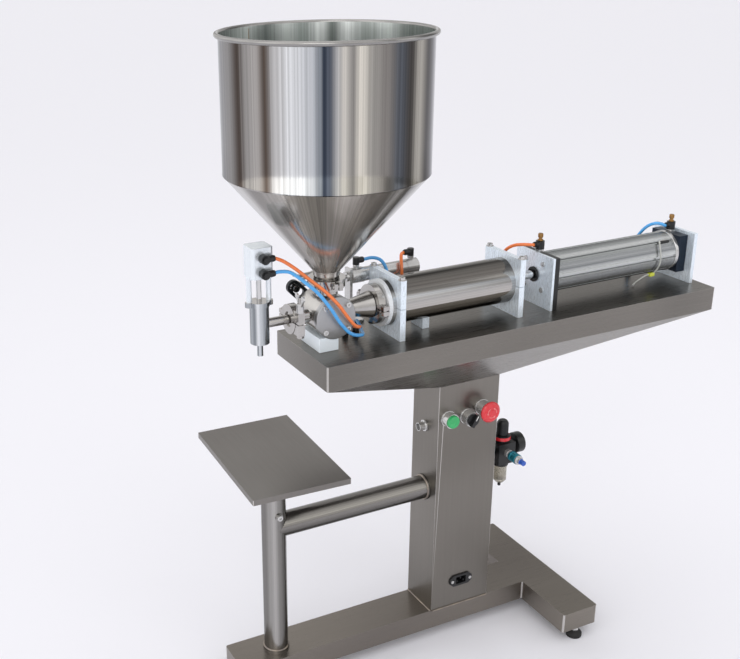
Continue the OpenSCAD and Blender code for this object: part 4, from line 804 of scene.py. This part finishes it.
def dress_fittings():
    bodies = dressed("push_in_fittings", "black", 0.5)
    # The screwed ends are bright: those on the drive cylinder, behind the main line, and those of
    # the front and rear speed controllers, on it
    front_end, rear_end, half_height = 750.5, 744.5, 2.9
    paint(bodies, "bright", lambda p: p.y > 60 and 740 < p.z < 756)
    paint(bodies, "bright", lambda p: abs(p.y) < 10 and p.x > 100
          and abs(p.z - (front_end if p.x < 300 else rear_end)) < half_height)
    needle = [(12, 0), (12, 2.95), (20.4, 2.95), (20.4, 4.6), (20.8, 5), (22.6, 5), (23, 4.6),
              (23, 3.0), (26, 2.95), (26, 4.0), (26.6, 4.4), (33.2, 4.4), (34, 3.8), (34, 1.2),
              (33.2, 1.2), (33.2, 0)]
    for end, x, base in (("front", 145, 748), ("rear", 460.5, 742)):
        parts = [turned(needle, spot(x, 0, base), Z, 48)]
        parts += knurl(spot(x, 0, base + 29.9), Z, 4.35, 6.2, 24, 0.6)
        node = "speed_needle_" + end
        put(joined(parts), node + "_turned", "brass", node)
    lay_tubes()
    in_slot = MAIN_AXIS + spot(420, -26.34, 26.34)
    put(cut_block((24, 4, 4.5), in_slot, Matrix.Rotation(pi / 4, 3, "X"), 0.6), "switch_sensor",
        "black", "reed_switch")
    put(cut_block((12, 8, 7), spot(392, -31, 673.5), round_by=1.2), "cable_clip", "yellow",
        "reed_switch")


# Controls on the column

def turn_arrows(face):
    """Three curved arrows round the stop button's face, each of seven short bars and a tip."""
    arrows = []
    for third in range(3):
        for step in range(8):
            turn = 2 * pi * third / 3 + step * radians(9)
            centre = face + Vector((cos(turn), 0, sin(turn))) * 9.3 * MM
            way = Matrix.Rotation(-turn, 3, "Y")
            if step < 7:
                arrows.append(cut_block((1.1, 0.5, 1.9), centre, way, 0.1))
                continue
            tip = bmesh.new()
            bmesh.ops.create_cone(tip, cap_ends=True, segments=3, radius1=2.2 * MM,
                                  radius2=2.2 * MM, depth=0.5 * MM)
            bmesh.ops.rotate(tip, matrix=Matrix.Rotation(pi / 2, 3, "X"), verts=tip.verts)
            bmesh.ops.rotate(tip, matrix=way, verts=tip.verts)
            bmesh.ops.translate(tip, vec=centre, verts=tip.verts)
            arrows.append(tip)
    put(joined(arrows), "turn_arrows", "faint", "stop_button", replaces=False)


def dress_controls():
    dressed("button_holders", "bright", 0.7)
    cap = [(-6, 0), (-6, 7.7), (13, 7.7), (13, 11.7), (13.4, 12), (20.6, 12), (21.6, 11.4),
           (22, 10.2), (21.5, 7), (21.2, 0)]
    put(turned(cap, spot(-71, -42, 476), -Y, 72), "start_cap", "green", "green_button")
    dressed("selector_knob", "black", 1.0)
    pointer = spot(-30, -72.1, 472) + spot(3.2, 0, 5.6)
    put(cut_block((1.6, 0.5, 9.5), pointer, Matrix.Rotation(radians(30), 3, "Y"), 0.2),
        "pointer_line", "white", "selector_knob", replaces=False)
    head = [(-6, 0), (-6, 7.6), (24, 7.6), (24, 15), (27, 19.8), (27.6, 20), (29.6, 20),
            (30.4, 19.6), (33.6, 16.4), (34.4, 14.6), (34.6, 12.5), (34.1, 12.2), (34.1, 6.4),
            (34.8, 6.0), (35, 4), (35, 0)]
    stop = spot(2, -42, 484)
    put(turned(head, stop, -Y, 96), "stop_head", "red", "stop_button")
    turn_arrows(stop + spot(0, -34.2, 0))
    dressed("pedal_socket", "bright", 0.5)
    dressed("power_inlet", "black", 0.7)
    pins = [cut_block((1.9, 14, 3.9), spot(x, -35, z), round_by=0.3)
            for x, z in ((-32, 117), (-25, 123), (-18, 117))]
    put(joined(pins), "inlet_pins", "bright", "power_inlet", replaces=False)
    dressed("valve_manifold", "aluminium", 0.6)


# Filter regulator

def dress_gauge():
    """The pressure gauge: case, dial with bare ticks, glass and needle."""
    case = [(-8, 0), (-8, 5), (0, 5), (0, 18.6), (0.8, 19.6), (1.4, 20), (14.6, 20), (15.6, 19.6),
            (16, 19), (16, 18.2), (11, 18), (11, 0)]
    put(turned(case, GAUGE, X, 96), "gauge_case", "black", "pressure_gauge")
    dial = [(11, 0), (11, 17.8), (11.15, 17.8), (11.15, 0)]
    put(turned(dial, GAUGE, X, 72), "gauge_dial", "white", "pressure_gauge", replaces=False)
    ticks = []
    for k in range(31):
        turn = radians(225 - k * 9)
        reach, length, width = (14.6, 3.2, 0.7) if k % 5 == 0 else (15.6, 1.4, 0.35)
        way = Vector((0, cos(turn), sin(turn)))
        place = GAUGE + X * 11.2 * MM + way * reach * MM
        ticks.append(cut_block((0.12, length, width), place, Matrix.Rotation(turn, 3, "X")))
    put(joined(ticks), "gauge_ticks", "black", "pressure_gauge", replaces=False)
    glass = [(14.2, 0), (14.2, 18.1), (15.0, 18.1), (15.0, 0)]
    put(turned(glass, GAUGE, X, 72), "gauge_glass", "glass", "pressure_gauge", replaces=False)
    dressed("gauge_needle", "red", 0.1)


def dress_regulator():
    body = dressed("regulator_body", "black", 1.0)
    ring_foot, ring_top, ring_r = 386, 394, 14.3
    paint(body, "red", lambda p: ring_foot < p.z < ring_top
          and (p.x - REGULATOR_X) ** 2 + (p.y - REGULATOR_Y) ** 2 > ring_r ** 2)
    top = spot(REGULATOR_X, REGULATOR_Y, 382.5)
    knob = [(4, 0), (4, 5.9), (12.4, 5.9), (12.4, 10.4), (13, 11), (36, 11), (38, 10.8),
            (41.6, 8.6), (43, 6.6), (43, 0)]
    parts = [turned(knob, top, Z, 72)]
    parts += knurl(top + Z * 25.2 * MM, Z, 10.9, 22, 28, 0.9)
    put(joined(parts), "ribbed_knob", "black", "regulator_knob")
    bowl = dressed("regulator_bowl", "bowl", 0.6)
    collar_z, drain_z = 331, 294
    paint(bowl, "black", lambda p: p.z > collar_z or p.z < drain_z)
    dress_gauge()
    coupler = dressed("air_coupler", "bright", 0.5)
    plug_y = -70
    paint(coupler, "royal", lambda p: p.y < plug_y)
    sleeve = [(0, 7.1), (0, 9.4), (0.6, 10), (5.5, 10), (6.2, 9.4), (7.2, 9.4), (7.9, 10),
              (18.8, 10), (19.4, 9.4), (19.4, 7.1)]
    put(turned(sleeve, spot(REGULATOR_X, -42.2, 364), -Y, 72, True), "coupler_sleeve_turned",
        "teal", "coupler_sleeve")


# Floor and light

def lay_floor():
    """A wide sheet of pale paper, dull enough to show the machine's shadow and no gloss."""
    half_width = 45  # metres, so that it fills the photograph's view
    floor = bmesh.new()
    bmesh.ops.create_grid(floor, x_segments=2, y_segments=2, size=half_width)
    mesh = bpy.data.meshes.new("studio_floor")
    floor.to_mesh(mesh)
    floor.free()
    ground = bpy.data.objects.new("studio_floor", mesh)
    bpy.context.scene.collection.objects.link(ground)
    paper, tree, shader, place = new_finish("pale_floor_paper", "EFEFF5", 0.95)
    fibre = add(tree, "ShaderNodeTexNoise", {"Vector": place, "Scale": PAPER_FIBRES, "Detail": 2})
    raise_surface(tree, shader, fibre.outputs["Fac"], 0.04, 0.2)
    mesh.materials.append(paper)


def hang_lamps():
    """Three soft lamps, each with its place, its width and height in metres, and its watts."""
    aim = spot(-50, 0, 700)
    lamps = {
        "key_softbox": (spot(-1900, -2200, 2600), 1.6, 1.2, 10),
        "fill_softbox": (spot(2400, -1600, 1900), 1.4, 1.8, 5),
        "top_softbox": (spot(100, 600, 3200), 2.2, 1.6, 7),
    }
    for name, (place, width, height, power) in lamps.items():
        lamp = bpy.data.lights.new(name, "AREA")
        lamp.shape = "RECTANGLE"
        lamp.size = width
        lamp.size_y = height
        lamp.energy = power
        holder = bpy.data.objects.new(name, lamp)
        holder.location = place
        holder.rotation_euler = (aim - place).to_track_quat("-Z", "Y").to_euler()
        bpy.context.scene.collection.objects.link(holder)


def light_room():
    """A pale room for the steel to mirror, with softly brighter and darker walls, lighter to the
    left."""
    world = bpy.data.worlds.new("studio_room")
    bpy.context.scene.world = world
    world.use_nodes = True
    tree = world.node_tree
    way = add(tree, "ShaderNodeTexCoord").outputs["Generated"]
    # The patches change little with height, so they stand upright as doors and walls do
    upright, to_window = (1, 1, 0.18), (-0.95, -0.2, 0)
    patches, dim, bright, window_light = 2.6, 0.76, 1.28, 0.62
    level = add(tree, "ShaderNodeVectorMath", {0: way, 1: upright}, operation="MULTIPLY")
    turn = add(tree, "ShaderNodeVectorMath", {0: level.outputs[0]}, operation="NORMALIZE")
    patch = add(tree, "ShaderNodeTexNoise", {
        "Vector": turn.outputs[0], "Scale": patches, "Detail": 2, "Roughness": 0.45})
    walls = add(tree, "ShaderNodeMapRange", {
        "Value": patch.outputs["Fac"], "From Min": 0.4, "From Max": 0.6,
        "To Min": dim, "To Max": bright}, interpolation_type="SMOOTHSTEP")
    left = add(tree, "ShaderNodeVectorMath", {0: way, 1: to_window}, operation="DOT_PRODUCT")
    window = add(tree, "ShaderNodeMath", {
        0: left.outputs["Value"], 1: window_light, 2: walls.outputs[0]}, operation="MULTIPLY_ADD")
    room = tree.nodes["Background"]
    room.inputs["Color"].default_value = (0.955, 0.945, 0.945, 1)
    tree.links.new(window.outputs[0], room.inputs["Strength"])


stand_camera()
dress_stand()
dress_hopper()
dress_valve()
dress_cylinders()
dress_fittings()
dress_controls()
dress_regulator()
lay_floor()
hang_lamps()
light_room()
bpy.context.scene.view_settings.view_transform = "Standard"
